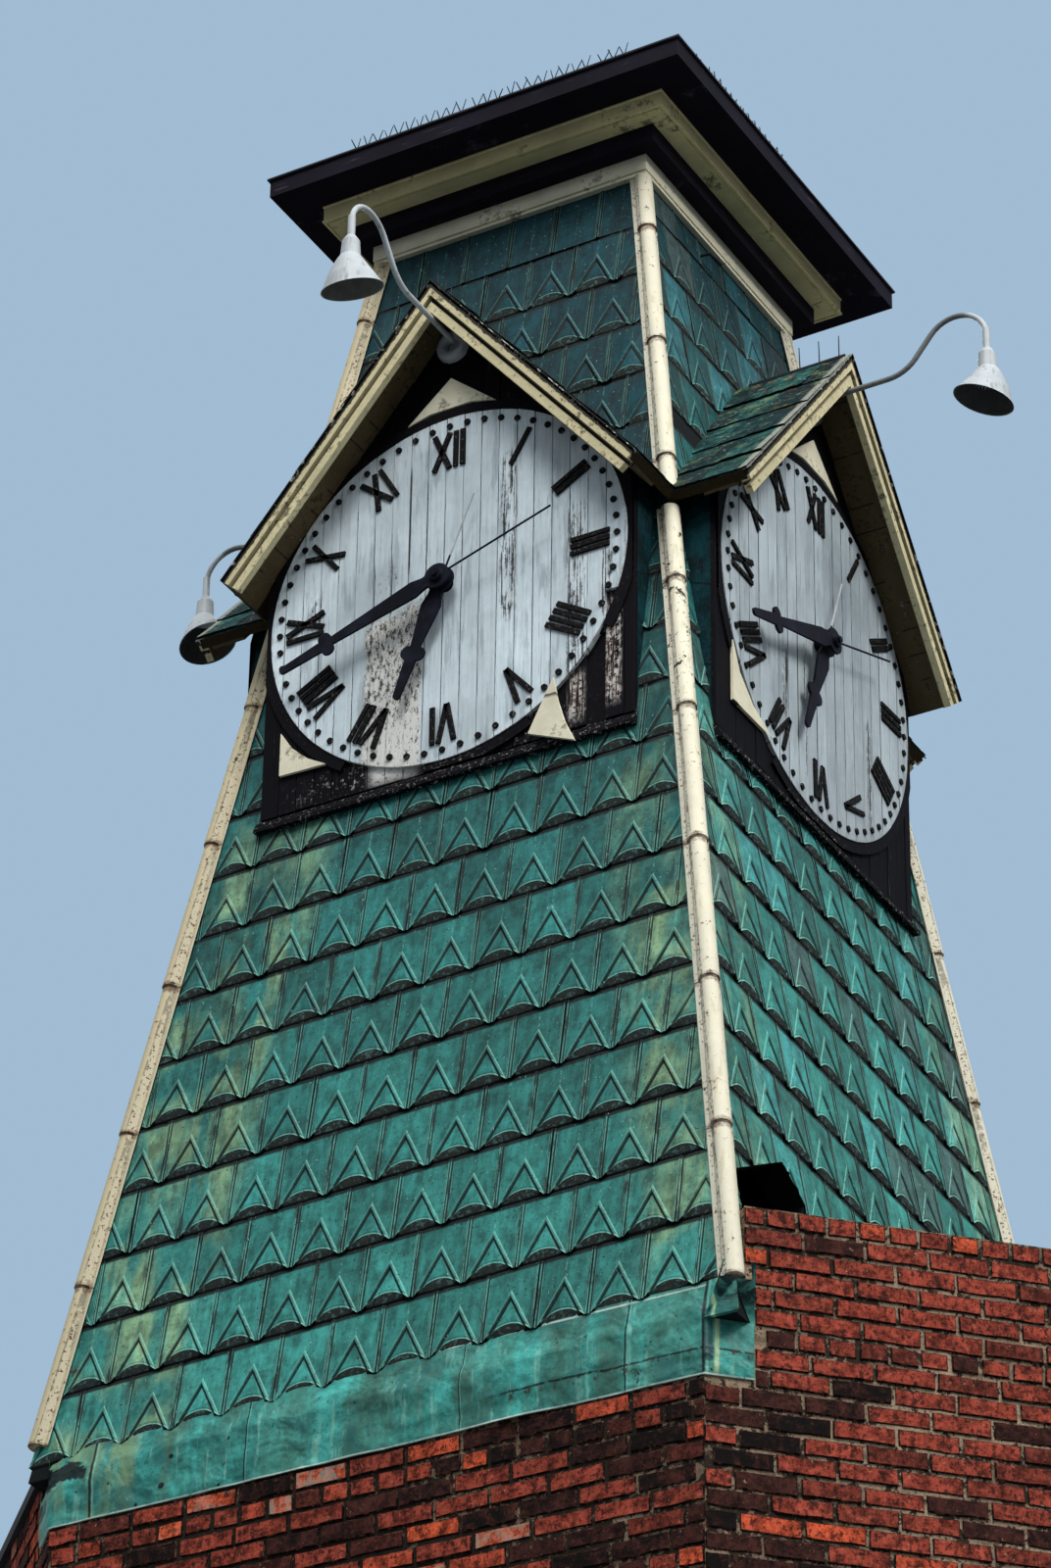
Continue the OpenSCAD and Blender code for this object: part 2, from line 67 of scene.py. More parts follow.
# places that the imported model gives: the skirt's lower edge, the brick corner and its far ends
SKIRT_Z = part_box("skirt_flashing")[0].z
BRICK_FRONT = -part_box("front_brick_wall")[0].y
CORNER_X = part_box("front_brick_wall")[1].x
FAR_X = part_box("right_street_wall")[1].x
FAR_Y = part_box("right_party_wall")[0].y
REAR_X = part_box("rear_brick_wall")[1].x
REAR_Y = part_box("rear_brick_wall")[1].y
HIGH_WALL_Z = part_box("right_party_wall")[1].z
LOW_WALL_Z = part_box("left_party_wall")[1].z
WALL_TOP_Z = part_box("front_tower_wall")[1].z
FRIEZE_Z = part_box("frieze_board")[0].z
ROOF_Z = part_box("roof_slab")[1].z
ROOF_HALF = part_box("roof_slab")[1].x
DIAL_Z = frame["joints"][0]["pos_m"][2]
DIAL_OUT = -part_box("front_dial")[0].y
CASE_OUT = -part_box("front_dial")[1].y
DIAL_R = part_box("front_dial")[1].x
CASE_FOOT_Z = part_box("front_dial_case")[0].z
FLAP_TOP_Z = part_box("skirt_flashing")[1].z
ROLL_FOOT_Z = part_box("front_right_hip_roll")[0].z
GABLE_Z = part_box("front_gable_roof")[1].z
GABLE_OUT = -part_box("front_gable_roof")[0].y
GABLE_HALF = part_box("front_gable_roof")[1].x

# the gables' fall for each metre across, and how far from the tower's axis their sheets begin
GABLE_PITCH = 1.2303
SHEETS_FROM = 0.60
# the boards of a case: half their width, and the heights of their foot and of their peak
CASE_HALF = 0.786
SILL_Z = CASE_FOOT_Z + 0.06
CASE_PEAK_Z = GABLE_Z - 0.075
# length of the hip rolls' laps
ROLL_LENGTH = 0.628
# how far out a lamp's rim is, how tall its shade is, and how far the shade leans over that height
LAMP_OUT = 1.760
SHADE_TALL = 0.150
SHADE_BEND = 0.022
# across and up from the dial's centre: the way in which the hour hand's tail points at rest
HOUR_TAIL = (0.358, 0.934)

# half width at the foot, and height, of a tile's V: its outer line, its bead and the groove inside it
V_OUTER = (0.092, 0.181)
V_CREST = (0.083, 0.164)
V_GROOVE = (0.0725, 0.143)
SEAM_LINE = 0.0915
SEAM_EDGE = 0.0935
# from this row up, the right and left walls' rows lie higher and flatter
UPPER_ROW = 14
UPPER_SHIFT = 0.112
# low by the hips the right and left walls have no tiles: up to this height, and this near a hip
BARE_HEIGHT = 0.47
BARE_WIDTH = 0.25
# where the recess under the arches lies on the tiles' map
RECESS_V = -0.1

# the torn hole low on the right wall, as points across and over the skirt's lower edge
TORN_HOLE = ((-1.219, 0.56), (-1.219, 0.817), (-0.814, 1.04), (-0.682, 0.932), (-0.73, 0.56))

# seams of the skirt's sheet: how far along it from the front's middle, and how wide the dark line is
SKIRT_SEAMS = ((-1.095, 0.005), (-0.478, 0.0025), (0.355, 0.002), (0.972, 0.003), (1.258, 0.006))
# small holes in the skirt's sheet: how far along it, how high, and how wide
SKIRT_HOLES = ((-0.776, 0.164, 0.011), (-0.810, 0.061, 0.014), (-0.909, 0.012, 0.008), (-0.576, 0.012, 0.008))

# courses of headers, counted down from the wall's top: every seventh where nothing is said
HEADER_ROWS = {
    "front": range(2, 59, 7),
    "right_street": (1, 7, *range(19, 124, 13)),
}
EVERY_SEVENTH = range(1, 200, 7)
# different shapes of each size of brick
BRICK_FORMS = 4
# how far from the corner the right street wall's bricks begin, beside the skirt's flap and over it
BESIDE_FLAP = 0.172
OVER_FLAP = 0.138
# how far from the other corner the left flap hides the left street wall's bricks
UNDER_FLAP = 0.17

# middle of the joint between two boards of a dial, from its centre
BOARD_JOINT = -0.013
HOLE_R = 0.030
NUMERALS = ("XII", "I", "II", "III", "IIII", "V", "VI", "VII", "VIII", "IX", "X", "XI")
# the loose V on the right dial: its hour, its place across and up, and its turn past its hour's
LOOSE_NUMERAL = (5, (0.27, -0.56), 88)

# strips of a dial and its case: middle across, half width, and top and foot over the skirt's lower edge
FRONT_ROT = (
    (0.262, 0.045, 4.20, 3.44),
    (0.55, 0.05, 3.87, 3.10),
    (-0.57, 0.04, 3.82, 3.65),
    (0.68, 0.03, 3.64, 3.30),
)
FRONT_SPLITS = (
    (-0.165, 0.006, 4.27, 3.78),
    (-0.09, 0.0035, 4.18, 3.70),
    (-0.238, 0.003, 3.87, 3.60),
    (-0.314, 0.003, 3.87, 3.60),
)
RIGHT_ROT = ((-0.268, 0.032, 3.563, 3.213), (-0.108, 0.014, 3.633, 3.033), (0.417, 0.022, 3.583, 3.083))
RIGHT_SPLITS = ((-0.168, 0.004, 3.633, 3.133), (-0.258, 0.010, 3.513, 3.333), (0.417, 0.004, 3.533, 3.133))
REAR_ROT = ((0.4, 0.02, 3.9, 3.5),)
REAR_SPLITS = ((0.1, 0.003, 4.1, 3.9),)
SPECKLED = ((-0.254, 0.06, 3.84, 3.73),)
CASE_BARE = ((0.70, 0.042, 3.42, 2.96), (0.547, 0.045, 3.13, 2.93), (0.62, 0.012, 3.20, 3.02))
CASE_PRIMED = ((-0.212, 0.13, 3.60, 2.90),)
CASE_FLAKED = ((0.0, 0.75, 3.02, 2.90),)
# what each dial's paint shows: rotten strips, open splits, and whether it is flaked low on the left
DIAL_WEAR = {
    "front": (FRONT_ROT, FRONT_SPLITS, True),
    "right": (RIGHT_ROT, RIGHT_SPLITS, False),
    "rear": (REAR_ROT, REAR_SPLITS, False),
}
# the end of the board that has gone at the right of the front dial, over the skirt's lower edge
LOST_BOARD_FOOT = 3.44
# the board of the front case that is broken off short, and its foot over the skirt's lower edge
SHORT_BOARD_AT = (0.58, 0.65)
SHORT_BOARD_FOOT = 3.27

# lengths of the black rings that have come away, in degrees clockwise from the top
RING_GAPS = {"front": ((118, 152), (186, 212)), "right": ((205, 238),)}
# the cream corner pieces, as points across the dial and over the skirt's lower edge
TOP_PIECE = ((-0.186, 4.465), (-0.002, 4.630), (0.196, 4.461), (0.09, 4.491), (-0.09, 4.491))
LEFT_PIECE = ((-0.702, 3.243), (-0.702, 3.057), (-0.500, 3.051), (-0.580, 3.098), (-0.655, 3.168))
LOOSE_PIECE = ((0.478, 3.105), (0.376, 2.895), (0.568, 2.811), (0.526, 2.904), (0.497, 3.002))
RIGHT_DIAL_PIECE = ((-0.682, 3.312), (-0.682, 3.054), (-0.378, 3.054), (-0.53, 3.115), (-0.63, 3.20))

# where each kind of piece starts its own run of random numbers
SEEDS = {
    "spikes": 5,
    "bricks": 7,
    "brick_forms": 20,
    "sheets": 30,
    "tiles": 40,
    "case": 60,
    "dial": 80,
    "marks": 90,
}

# stretches of bird spikes along the front and right edges of the roof, from end to end
SPIKE_RUNS = (((-0.563, -0.058), (-0.014, 0.107), (0.143, 0.523), (0.554, 0.675)), ((-0.716, 0.05),))
# spikes on a gable's ridge, front and right: how many, how far apart and how tall
RIDGE_SPIKES = ((3, 0.05, 0.07), (5, 0.085, 0.105))
# height over the skirt's lower edge of the bent hook on the right wall
HOOK_HEIGHT = 5.568

# the lights: place, width and tint
LIGHTS = {
    "key": ((4.0, -13.0, 31.0), 8.0, (1.0, 0.98, 0.95)),
    "fill": ((17.0, -5.0, 27.0), 8.0, (1.0, 0.98, 0.95)),
    "rear": ((-9.0, 15.0, 24.0), 9.0, (0.9, 0.95, 1.0)),
}

# colours of small marks and of what lies under the paint, as linear light
MARKS = {
    # The first two tints are painted reflections of the sky on the side walls' tiles
    "tile_sky_sheen_blue": (0.05, 0.22, 0.27),
    "tile_sky_sheen_grey": (0.14, 0.20, 0.20),
    "tile_chip": (0.50, 0.68, 0.64),
    "lip_green": (0.10, 0.20, 0.19),
    "lip_brown": (0.10, 0.08, 0.07),
    "gap_shadow_black": (0.002, 0.003, 0.004),
    "skirt_blotch": (0.02, 0.13, 0.13),
    "skirt_edge": (0.52, 0.66, 0.60),
    "flap_streak": (0.40, 0.58, 0.33),
    "flap_shadow": (0.006, 0.022, 0.026),
    "torn_mouth_shadow": (0.004, 0.010, 0.012),
    "skirt_hole_shadow": (0.004, 0.008, 0.008),
    "brick_blot": (0.022, 0.010, 0.009),
    "brick_fresh": (0.62, 0.24, 0.15),
    "brick_lime": (0.36, 0.32, 0.26),
    # Near-black painted shade on the bricks' edges
    "rim_shadow": (0.008, 0.005, 0.005),
    "rim_red": (0.16, 0.06, 0.04),
    "roll_yellow": (0.56, 0.46, 0.26),
    "roll_run": (0.52, 0.46, 0.28),
    "roll_wing": (0.55, 0.54, 0.46),
    "roll_crease_shadow": (0.06, 0.065, 0.045),
    "rust_hole": (0.012, 0.008, 0.006),
    "case_worn": (0.46, 0.44, 0.42),
    "board_worn": (0.12, 0.10, 0.09),
    "wood_grey": (0.64, 0.62, 0.60),
    "wood_crack": (0.02, 0.012, 0.012),
    "primer": (0.84, 0.83, 0.80),
    "primer_flake": (0.55, 0.53, 0.50),
    "purple_worn": (0.10, 0.09, 0.13),
    "metal_dark": (0.012, 0.011, 0.017),
    "metal_dusty": (0.035, 0.033, 0.042),
    "felt": (0.018, 0.018, 0.02),
    "felt_dust": (0.10, 0.095, 0.085),
    "dial_grey": (0.24, 0.30, 0.34),
    "dial_seam": (0.06, 0.07, 0.08),
    "dial_flake": (0.70, 0.73, 0.75),
    "dial_crumb": (0.030, 0.024, 0.022),
    "dial_crack": (0.04, 0.04, 0.045),
    "dial_split": (0.012, 0.012, 0.012),
    "patch_wood": (0.07, 0.06, 0.05),
    "patch_white": (0.80, 0.80, 0.78),
    "hand_black": (0.003, 0.0035, 0.008),
    # Painted sheen on the black hands
    "hand_blue_sheen": (0.012, 0.014, 0.028),
    "hand_worn": (0.06, 0.055, 0.06),
    "hand_sleeve": (0.50, 0.53, 0.54),
    "numeral_black": (0.004, 0.004, 0.005),
    "numeral_wood": (0.24, 0.20, 0.18),
    "spike_wire": (0.020, 0.024, 0.030),
    "moss": (0.17, 0.20, 0.06),
    "gable_rust": (0.24, 0.10, 0.05),
    "gable_chip": (0.42, 0.50, 0.38),
    "gable_edging": (0.36, 0.38, 0.33),
    "gable_cream": (0.80, 0.78, 0.70),
    "lamp_arm_shade": (0.075, 0.075, 0.08),
    "lamp_dirt": (0.08, 0.08, 0.075),
    # Painted shade inside the lamps' shades, lighter on the front and back lamps
    "shade_front": (0.13, 0.13, 0.125),
    "lampshade_shadow_side": (0.055, 0.055, 0.057),
    "floor": (0.52, 0.53, 0.54),
    "night": (0.0, 0.0, 0.0),
    "daylight": (0.86, 0.94, 1.0),
}


def length(name, default, description):
    """A size in metres that the panel shows."""
    return FloatProperty(name=name, description=description, default=default, unit="LENGTH", precision=4)


def whereabouts(name, default, description):
    """A point in metres that the panel shows."""
    return FloatVectorProperty(name=name, description=description, default=default, unit="LENGTH")


def colour(name, default, description):
    """A paint colour as the eye sees it, from 0 to 1."""
    return FloatVectorProperty(name=name, description=description, default=default, subtype="COLOR_GAMMA")


class WallSizes(bpy.types.PropertyGroup):
    """Sizes of the battered walls and of their pressed tiles."""

    foot_half: length("Foot half width", 1.399, "Half width of the walls at the skirt's lower edge")
    top_half: length("Top half width", 0.578, "Half width of the walls at their top")
    tile_width: length("Tile width", 0.201, "Width of a pressed tile")
    row: length("Row height", 0.2685, "Height that shows of each row of tiles")
    first_row: length("First row", 0.2985, "Height of the lowest row's edge over the skirt's lower edge")
    overlap: length("Overlap", 0.004, "How far a tile runs up under the row over it")
    edge_out: length("Edge", 0.012, "How far a tile's lower edge stands off the wall")
    lip_out: length("Lip", 0.003, "How far the face inside the V swells out")
    lip_rise: length("Arch rise", 0.044, "How far the middle of a tile's arched lower edge is raised")
    bead: length("Bead", 0.005, "Height of the bead along the V and the seams")
    dent: length("Dent", 0.004, "Depth of the dents in the tiles")


class BrickSizes(bpy.types.PropertyGroup):
    """Sizes of the bricks and their bond."""

    brick_length: length("Brick length", 0.205, "Length of a stretcher")
    header: length("Header", 0.098, "Length of a header's face")
    course: length("Course", 0.073, "Height of a course with its joint")
    joint: length("Joint", 0.0095, "Thickness of a joint")
    proud: length("Proud", 0.007, "How far a brick's face stands out of the mortar")
    chipped: length("Chipped", 0.0035, "How far a brick's outline is worn in")
    rim: length("Rim width", 0.0035, "Width of the worn rim round a brick's face")
    rim_drop: length("Rim drop", 0.003, "How far the rim's outer edge lies under the face")
    sunk: length("Sunk", 0.004, "How deep a brick's sides reach into the mortar")


class DialSizes(bpy.types.PropertyGroup):
    """Sizes of the dials' boards, numerals and dots."""

    board: length("Board width", 0.0765, "Width of a board of the dial and of its case")
    gap: length("Gap", 0.003, "Gap between two boards")
    numeral_at: length("Numeral radius", 0.61, "Distance of a numeral's middle from the dial's centre")
    numeral_height: length("Numeral height", 0.163, "Height of a numeral")
    bar: length("Numeral bar", 0.022, "Width of a numeral's bar")
    pitch: length("Bar pitch", 0.0295, "Distance from one upright bar to the next")
    dots_at: length("Dot circle", 0.722, "Radius of the circle of minute dots")
    dot: length("Dot radius", 0.0135, "Radius of a minute dot")
    relief: length("Relief", 0.008, "Thickness of the numerals and dots")
    ring: length("Ring width", 0.045, "Width of the black ring round the dial")
    worn: length("Worn edge", 0.0015, "How much is worn off the edges of boards and numerals")


class TrimSizes(bpy.types.PropertyGroup):
    """Sizes of the bird spikes, the cream corner pieces and the gables' sheets."""

    spike: length("Spike height", 0.060, "Height of a bird spike")
    spike_lean: length("Spike lean", 0.022, "How far a spike's tip stands to the side of its foot")
    spike_pitch: length("Spike pitch", 0.048, "Distance from one pair of spikes to the next")
    wire: length("Spike wire", 0.0030, "Radius of a spike's wire at its foot")
    hook_wire: length("Hook wire", 0.005, "Radius of the bent hook's wire")
    corner_thick: length("Corner piece", 0.012, "Thickness of a cream corner piece")
    corner_out: length("Corner gap", 0.013, "How far a corner piece's back stands off the case")
    loose_out: length("Loose gap", 0.046, "How far the loose corner piece stands off the case")
    sheet_row: length("Sheet row", 0.30, "Height of a row of the gables' sheets, down the slope")
    sheet_narrow: length("Narrowest sheet", 0.12, "Least width of a gable's sheet")
    sheet_wide: length("Widest sheet", 0.22, "Greatest width of a gable's sheet")


class PaintColours(bpy.types.PropertyGroup):
    """Colours of the paints, bricks and stains."""

    green_low: colour("Lower green", (0.20, 0.52, 0.49), "Faded green paint of the lower tiles")
    green_high: colour("Upper green", (0.02, 0.20, 0.23), "Darker green paint under the roof")
    # Stands for worn paint and also for the painted highlights on the tiles' edges and beads
    green_worn: colour("Worn green", (0.50, 0.76, 0.70), "Green paint worn thin on edges and beads")
    # Stands for grime and also for the painted shade in the tiles' grooves and under their lips
    green_dirt: colour("Green grime", (0.03, 0.06, 0.07), "Grime in the grooves and under the lips")
    # Grey painted shade in the recess under the tiles' arched edges
    under_lip: colour("Under the arches", (0.16, 0.19, 0.185), "Dusty grey metal under the arched edges")
    lichen: colour("Lichen", (0.54, 0.64, 0.46), "Yellow-green growth in streaks by the hips")
    skirt_green: colour("Skirt green", (0.22, 0.56, 0.53), "Green paint of the plain skirt sheet")
    rust: colour("Rust", (0.36, 0.19, 0.10), "Rust at laps and holes")
    cream: colour("Cream", (0.90, 0.88, 0.79), "Cream paint of the hip rolls")
    cream_aged: colour("Aged cream", (0.86, 0.82, 0.66), "Cream paint of the boards, aged and stained")
    cream_light: colour("Light cream", (0.92, 0.90, 0.80), "Cream paint of the corner pieces")
    olive: colour("Olive cream", (0.94, 0.89, 0.68), "Stained cream paint of the roof's moulding")
    stain: colour("Stain", (0.24, 0.20, 0.13), "Brown stain in cream paint")
    black: colour("Black", (0.05, 0.05, 0.075), "Near-black paint of the boards round the dials")
    # On the roof's soffits this near-black stands in for shade
    purple: colour("Roof edge", (0.12, 0.11, 0.16), "Near-black purple paint of the roof's edge")
    soffit: colour("Soffit", (0.34, 0.29, 0.20), "Brown-stained boards that are seen from below")
    bare_wood: colour("Bare wood", (0.60, 0.52, 0.48), "Weathered wood where the paint has gone")
    white: colour("Dial white", (0.84, 0.90, 0.93), "White paint of the dials")
    brick_red: colour("Brick red", (0.60, 0.26, 0.20), "Middle colour of the bricks")
    brick_dark: colour("Dark brick", (0.26, 0.14, 0.12), "Hard-burnt bricks")
    brick_bright: colour("Bright brick", (0.85, 0.36, 0.22), "Bright orange-red bricks")
    mortar: colour("Mortar", (0.74, 0.64, 0.54), "Lime mortar")
    # Stands for soot and also for painted shade in joints, laps and grooves
    soot: colour("Soot", (0.05, 0.045, 0.045), "Soot on the bricks")
    enamel: colour("Enamel", (0.72, 0.75, 0.77), "Pale grey enamel of the lamps")
    sky: colour("Backdrop", (0.631, 0.737, 0.827), "Pale backdrop behind the tower")


class StageSettings(bpy.types.PropertyGroup):
    """The camera's place, the floor and the lights."""

    camera_at: whereabouts("Camera", (8.80875, -15.56087, 1.5264), "Place of the camera")
    camera_aim: whereabouts("Aim", (-0.17984, -0.10459, 12.77065), "Point that the camera looks at")
    camera_roll: FloatProperty(
        name="Roll", description="Turn of the view", default=math.radians(0.8687), unit="ROTATION"
    )
    lens: FloatProperty(name="Lens", description="Focal length in millimetres", default=127.513)
    floor_r: length("Floor radius", 9.0, "Radius of the round floor")
    daylight: FloatProperty(name="Daylight", description="Strength of the light all round", default=0.62)
    key_watts: FloatProperty(name="Key light", description="Power of the light in front", default=3600.0)
    fill_watts: FloatProperty(name="Fill light", description="Power of the right light", default=3600.0)
    rear_watts: FloatProperty(name="Rear light", description="Power of the light behind", default=2200.0)


GROUPS = {
    "tower_wall": WallSizes,
    "tower_brick": BrickSizes,
    "tower_dial": DialSizes,
    "tower_trim": TrimSizes,
    "tower_paint": PaintColours,
    "tower_stage": StageSettings,
}


def settings(name):
    """One group of the panel's values."""
    return getattr(bpy.context.scene, "tower_" + name)


def paint(name):
    """A mark's colour, or a colour of the panel as linear light, with its alpha."""
    if name in MARKS:
        return MARKS[name] + (1.0,)
    seen = getattr(settings("paint"), name)
    return tuple(c / 12.92 if c <= 0.04045 else ((c + 0.055) / 1.055) ** 2.4 for c in seen) + (1.0,)


class Wire:
    """The value of one node output. Python's signs on it add Math nodes."""

    def __init__(self, nodes, made, output):
        self.nodes = nodes
        self.made = made
        self.socket = made.outputs[output]

    def part(self, output):
        return Wire(self.nodes, self.made, output)

    def sum(self, operation, first, second=0.0):
        return self.nodes.node("Math", {"operation": operation}, {0: first, 1: second})

    def __add__(self, other):
        return self.sum("ADD", self, other)

    def __sub__(self, other):
        return self.sum("SUBTRACT", self, other)

    def __rsub__(self, other):
        return self.sum("SUBTRACT", other, self)

    def __mul__(self, other):
        return self.sum("MULTIPLY", self, other)

    def __truediv__(self, other):
        return self.sum("DIVIDE", self, other)

    def __abs__(self):
        return self.sum("ABSOLUTE", self)

    __radd__ = __add__
    __rmul__ = __mul__

    def least(self, other):
        return self.sum("MINIMUM", self, other)

    def most(self, other):
        return self.sum("MAXIMUM", self, other)

    def fraction(self):
        return self.sum("FRACT", self)


class Nodes:
    """A node tree that is being put together."""

    def __init__(self, tree):
        self.tree = tree

    def node(self, kind, options, sockets, output=0):
        """A new node with its options set and its sockets joined, as the wire of one output."""
        made = self.tree.nodes.new("ShaderNode" + kind)
        for name, value in options.items():
            setattr(made, name, value)
        for name, value in sockets.items():
            self.join(made.inputs[name], value)
        return Wire(self, made, output)

    def join(self, socket, value):
        """Gives a socket a wire, a number or a colour, which may be named."""
        if isinstance(value, str):
            value = paint(value)
        if isinstance(value, Wire):
            self.tree.links.new(value.socket, socket)
        else:
            socket.default_value = value

    def axes(self, vector):
        """The three parts of a point."""
        split = self.node("SeparateXYZ", {}, {0: vector})
        return split, split.part("Y"), split.part("Z")

    def blend(self, first, second, amount, mode="MIX"):
        """Two colours mixed by an amount."""
        options = {"data_type": "RGBA", "blend_type": mode}
        return self.node("Mix", options, {0: amount, 6: first, 7: second}, 2)


class Finish(Nodes):
    """A surface finish. Its base is the colour so far, its place the surface's point in the tower's frame."""

    def __init__(self, name, roughness=0.6, gloss=0.22):
        self.material = bpy.data.materials.new(name)
        self.material.use_nodes = True
        super().__init__(self.material.node_tree)
        self.shader = self.tree.nodes["Principled BSDF"]
        self.shader.inputs["Roughness"].default_value = roughness
        self.shader.inputs["Specular IOR Level"].default_value = gloss
        self.place = self.node("TexCoord", {}, {}, "Object")
        self.base = "white"

    def on_piece(self, layer):
        """The parts of the surface's point on the piece's own map, in metres."""
        return self.axes(self.node("UVMap", {"uv_map": layer}, {}))

    def mark(self, name):
        """A number that the piece's faces carry."""
        return self.node("Attribute", {"attribute_name": name}, {}, "Fac")

    def on_side(self):
        """1 on the tower's right and left, 0 on its front and back."""
        x, y, _ = self.axes(self.place)
        return self.ease(abs(x) - abs(y), -0.02, 0.02)

    def grain(self, scale, detail=4.0, rough=0.55, warp=0.0, stretch=None):
        """Cloudy variation from about 0.2 to 0.8. A stretch scales its axes."""
        place = self.place
        if stretch:
            place = self.node("Mapping", {}, {"Vector": place, "Scale": stretch})
        sockets = {"Vector": place, "Scale": scale, "Detail": detail, "Roughness": rough, "Distortion": warp}
        return self.node("TexNoise", {}, sockets)

    def streaks(self, scale, run):
        """Vertical streaks: fine across the wall and long down it."""
        return self.grain(1.0, 5.0, 0.6, stretch=(scale, scale, scale / run))

    def spots(self, low, high, scale, detail=4.0, rough=0.55):
        """1 where the grain is over high, 0 where it is under low."""
        return self.ease(self.grain(scale, detail, rough), low, high)

    def ease(self, value, low, high):
        """0 below low, 1 above high and smooth between; the other way round where low is over high."""
        sockets = {"Value": value, "From Min": low, "From Max": high}
        return self.node("MapRange", {"interpolation_type": "SMOOTHSTEP"}, sockets)

    def band(self, value, middle, width):
        """1 at the middle of a band, falling to 0 at its width."""
        return self.ease(abs(value - middle), width, width * 0.3)

    def shaded(self, base, value):
        """A colour made darker or lighter by a number round 1."""
        grey = self.node("CombineXYZ", {}, {0: value, 1: value, 2: value})
        return self.blend(base, grey, 1.0, "MULTIPLY")

    def lay(self, coat, amount):
        """Lays a colour over the base by an amount."""
        self.base = self.blend(self.base, coat, amount)

    def shade(self, value):
        """Makes the base darker or lighter by a number round 1."""
        self.base = self.shaded(self.base, value)

    def finished(self, roughness=None, height=None, strength=1.0):
        """Joins the base, the roughness and the height in metres, and gives the material."""
        self.join(self.shader.inputs["Base Color"], self.base)
        if roughness is not None:
            self.join(self.shader.inputs["Roughness"], roughness)
        if height is not None:
            sockets = {"Height": height, "Distance": 1.0, "Strength": strength}
            bump = self.node("Bump", {}, sockets, "Normal")
            self.join(self.shader.inputs["Normal"], bump)
        return self.material


MATERIALS = {}


def material(maker, *choice):
    """The material that a maker puts together, made once for each choice."""
    key = (maker.__name__,) + choice
    if key not in MATERIALS:
        MATERIALS[key] = maker("_".join(map(str, key)), *choice)
    return MATERIALS[key]


def hip_distance(x, y):
    """How far a point of a wall lies from the nearest hip, in metres."""
    return abs(x).most(abs(y)) - abs(x).least(abs(y))


def growth_by_hips(f, x, y, z, streak):
    """Long yellow-green streaks down the outer tiles of each wall, up to the dial's foot."""
    away = hip_distance(x, y)
    left = f.ease(x, 0.2, -0.2)
    at = f.ease(away, 0.03, 0.10) * f.ease(away - left * 0.24, 0.40, 0.22)
    height = f.ease(z, SKIRT_Z + 3.3, SKIRT_Z + 2.2)
    return f.ease(streak, 0.66, 0.42) * at * height


def green_base(f):
    """Green paint with streaks, lichen and rust. Gives how dark it is, from 0 at the foot to 1 at the top."""
    x, y, z = f.axes(f.place)
    # Painted light: on the right and left walls the darkening towards the top starts 1.3 m higher, so these
    # walls are painted lighter, as the sky's sheen makes them look
    span = {"Value": z - f.on_side() * 1.3, "From Min": SKIRT_Z + 0.3, "From Max": SKIRT_Z + 4.1}
    up = f.node("MapRange", {}, span)
    f.base = f.blend("green_low", "green_high", up)
    cloud = f.grain(3.1, 5.0)
    f.shade(0.66 + cloud * 0.68)
    streak = f.streaks(13.0, 14.0)
    f.shade(0.62 + streak * 0.76)
    growth = growth_by_hips(f, x, y, z, f.streaks(9.0, 22.0))
    f.lay("lichen", growth * f.ease(cloud, 0.36, 0.54) * 0.65)
    near = f.ease(hip_distance(x, y), 0.5, 0.02)
    spots = f.spots(0.66, 0.73, 21.0, 6.0, 0.7) * (near * 0.8 + 0.05)
    rusty = spots.most(f.spots(0.67, 0.72, 5.0, 6.0, 0.7) * near)
    f.lay("rust", rusty)
    return up


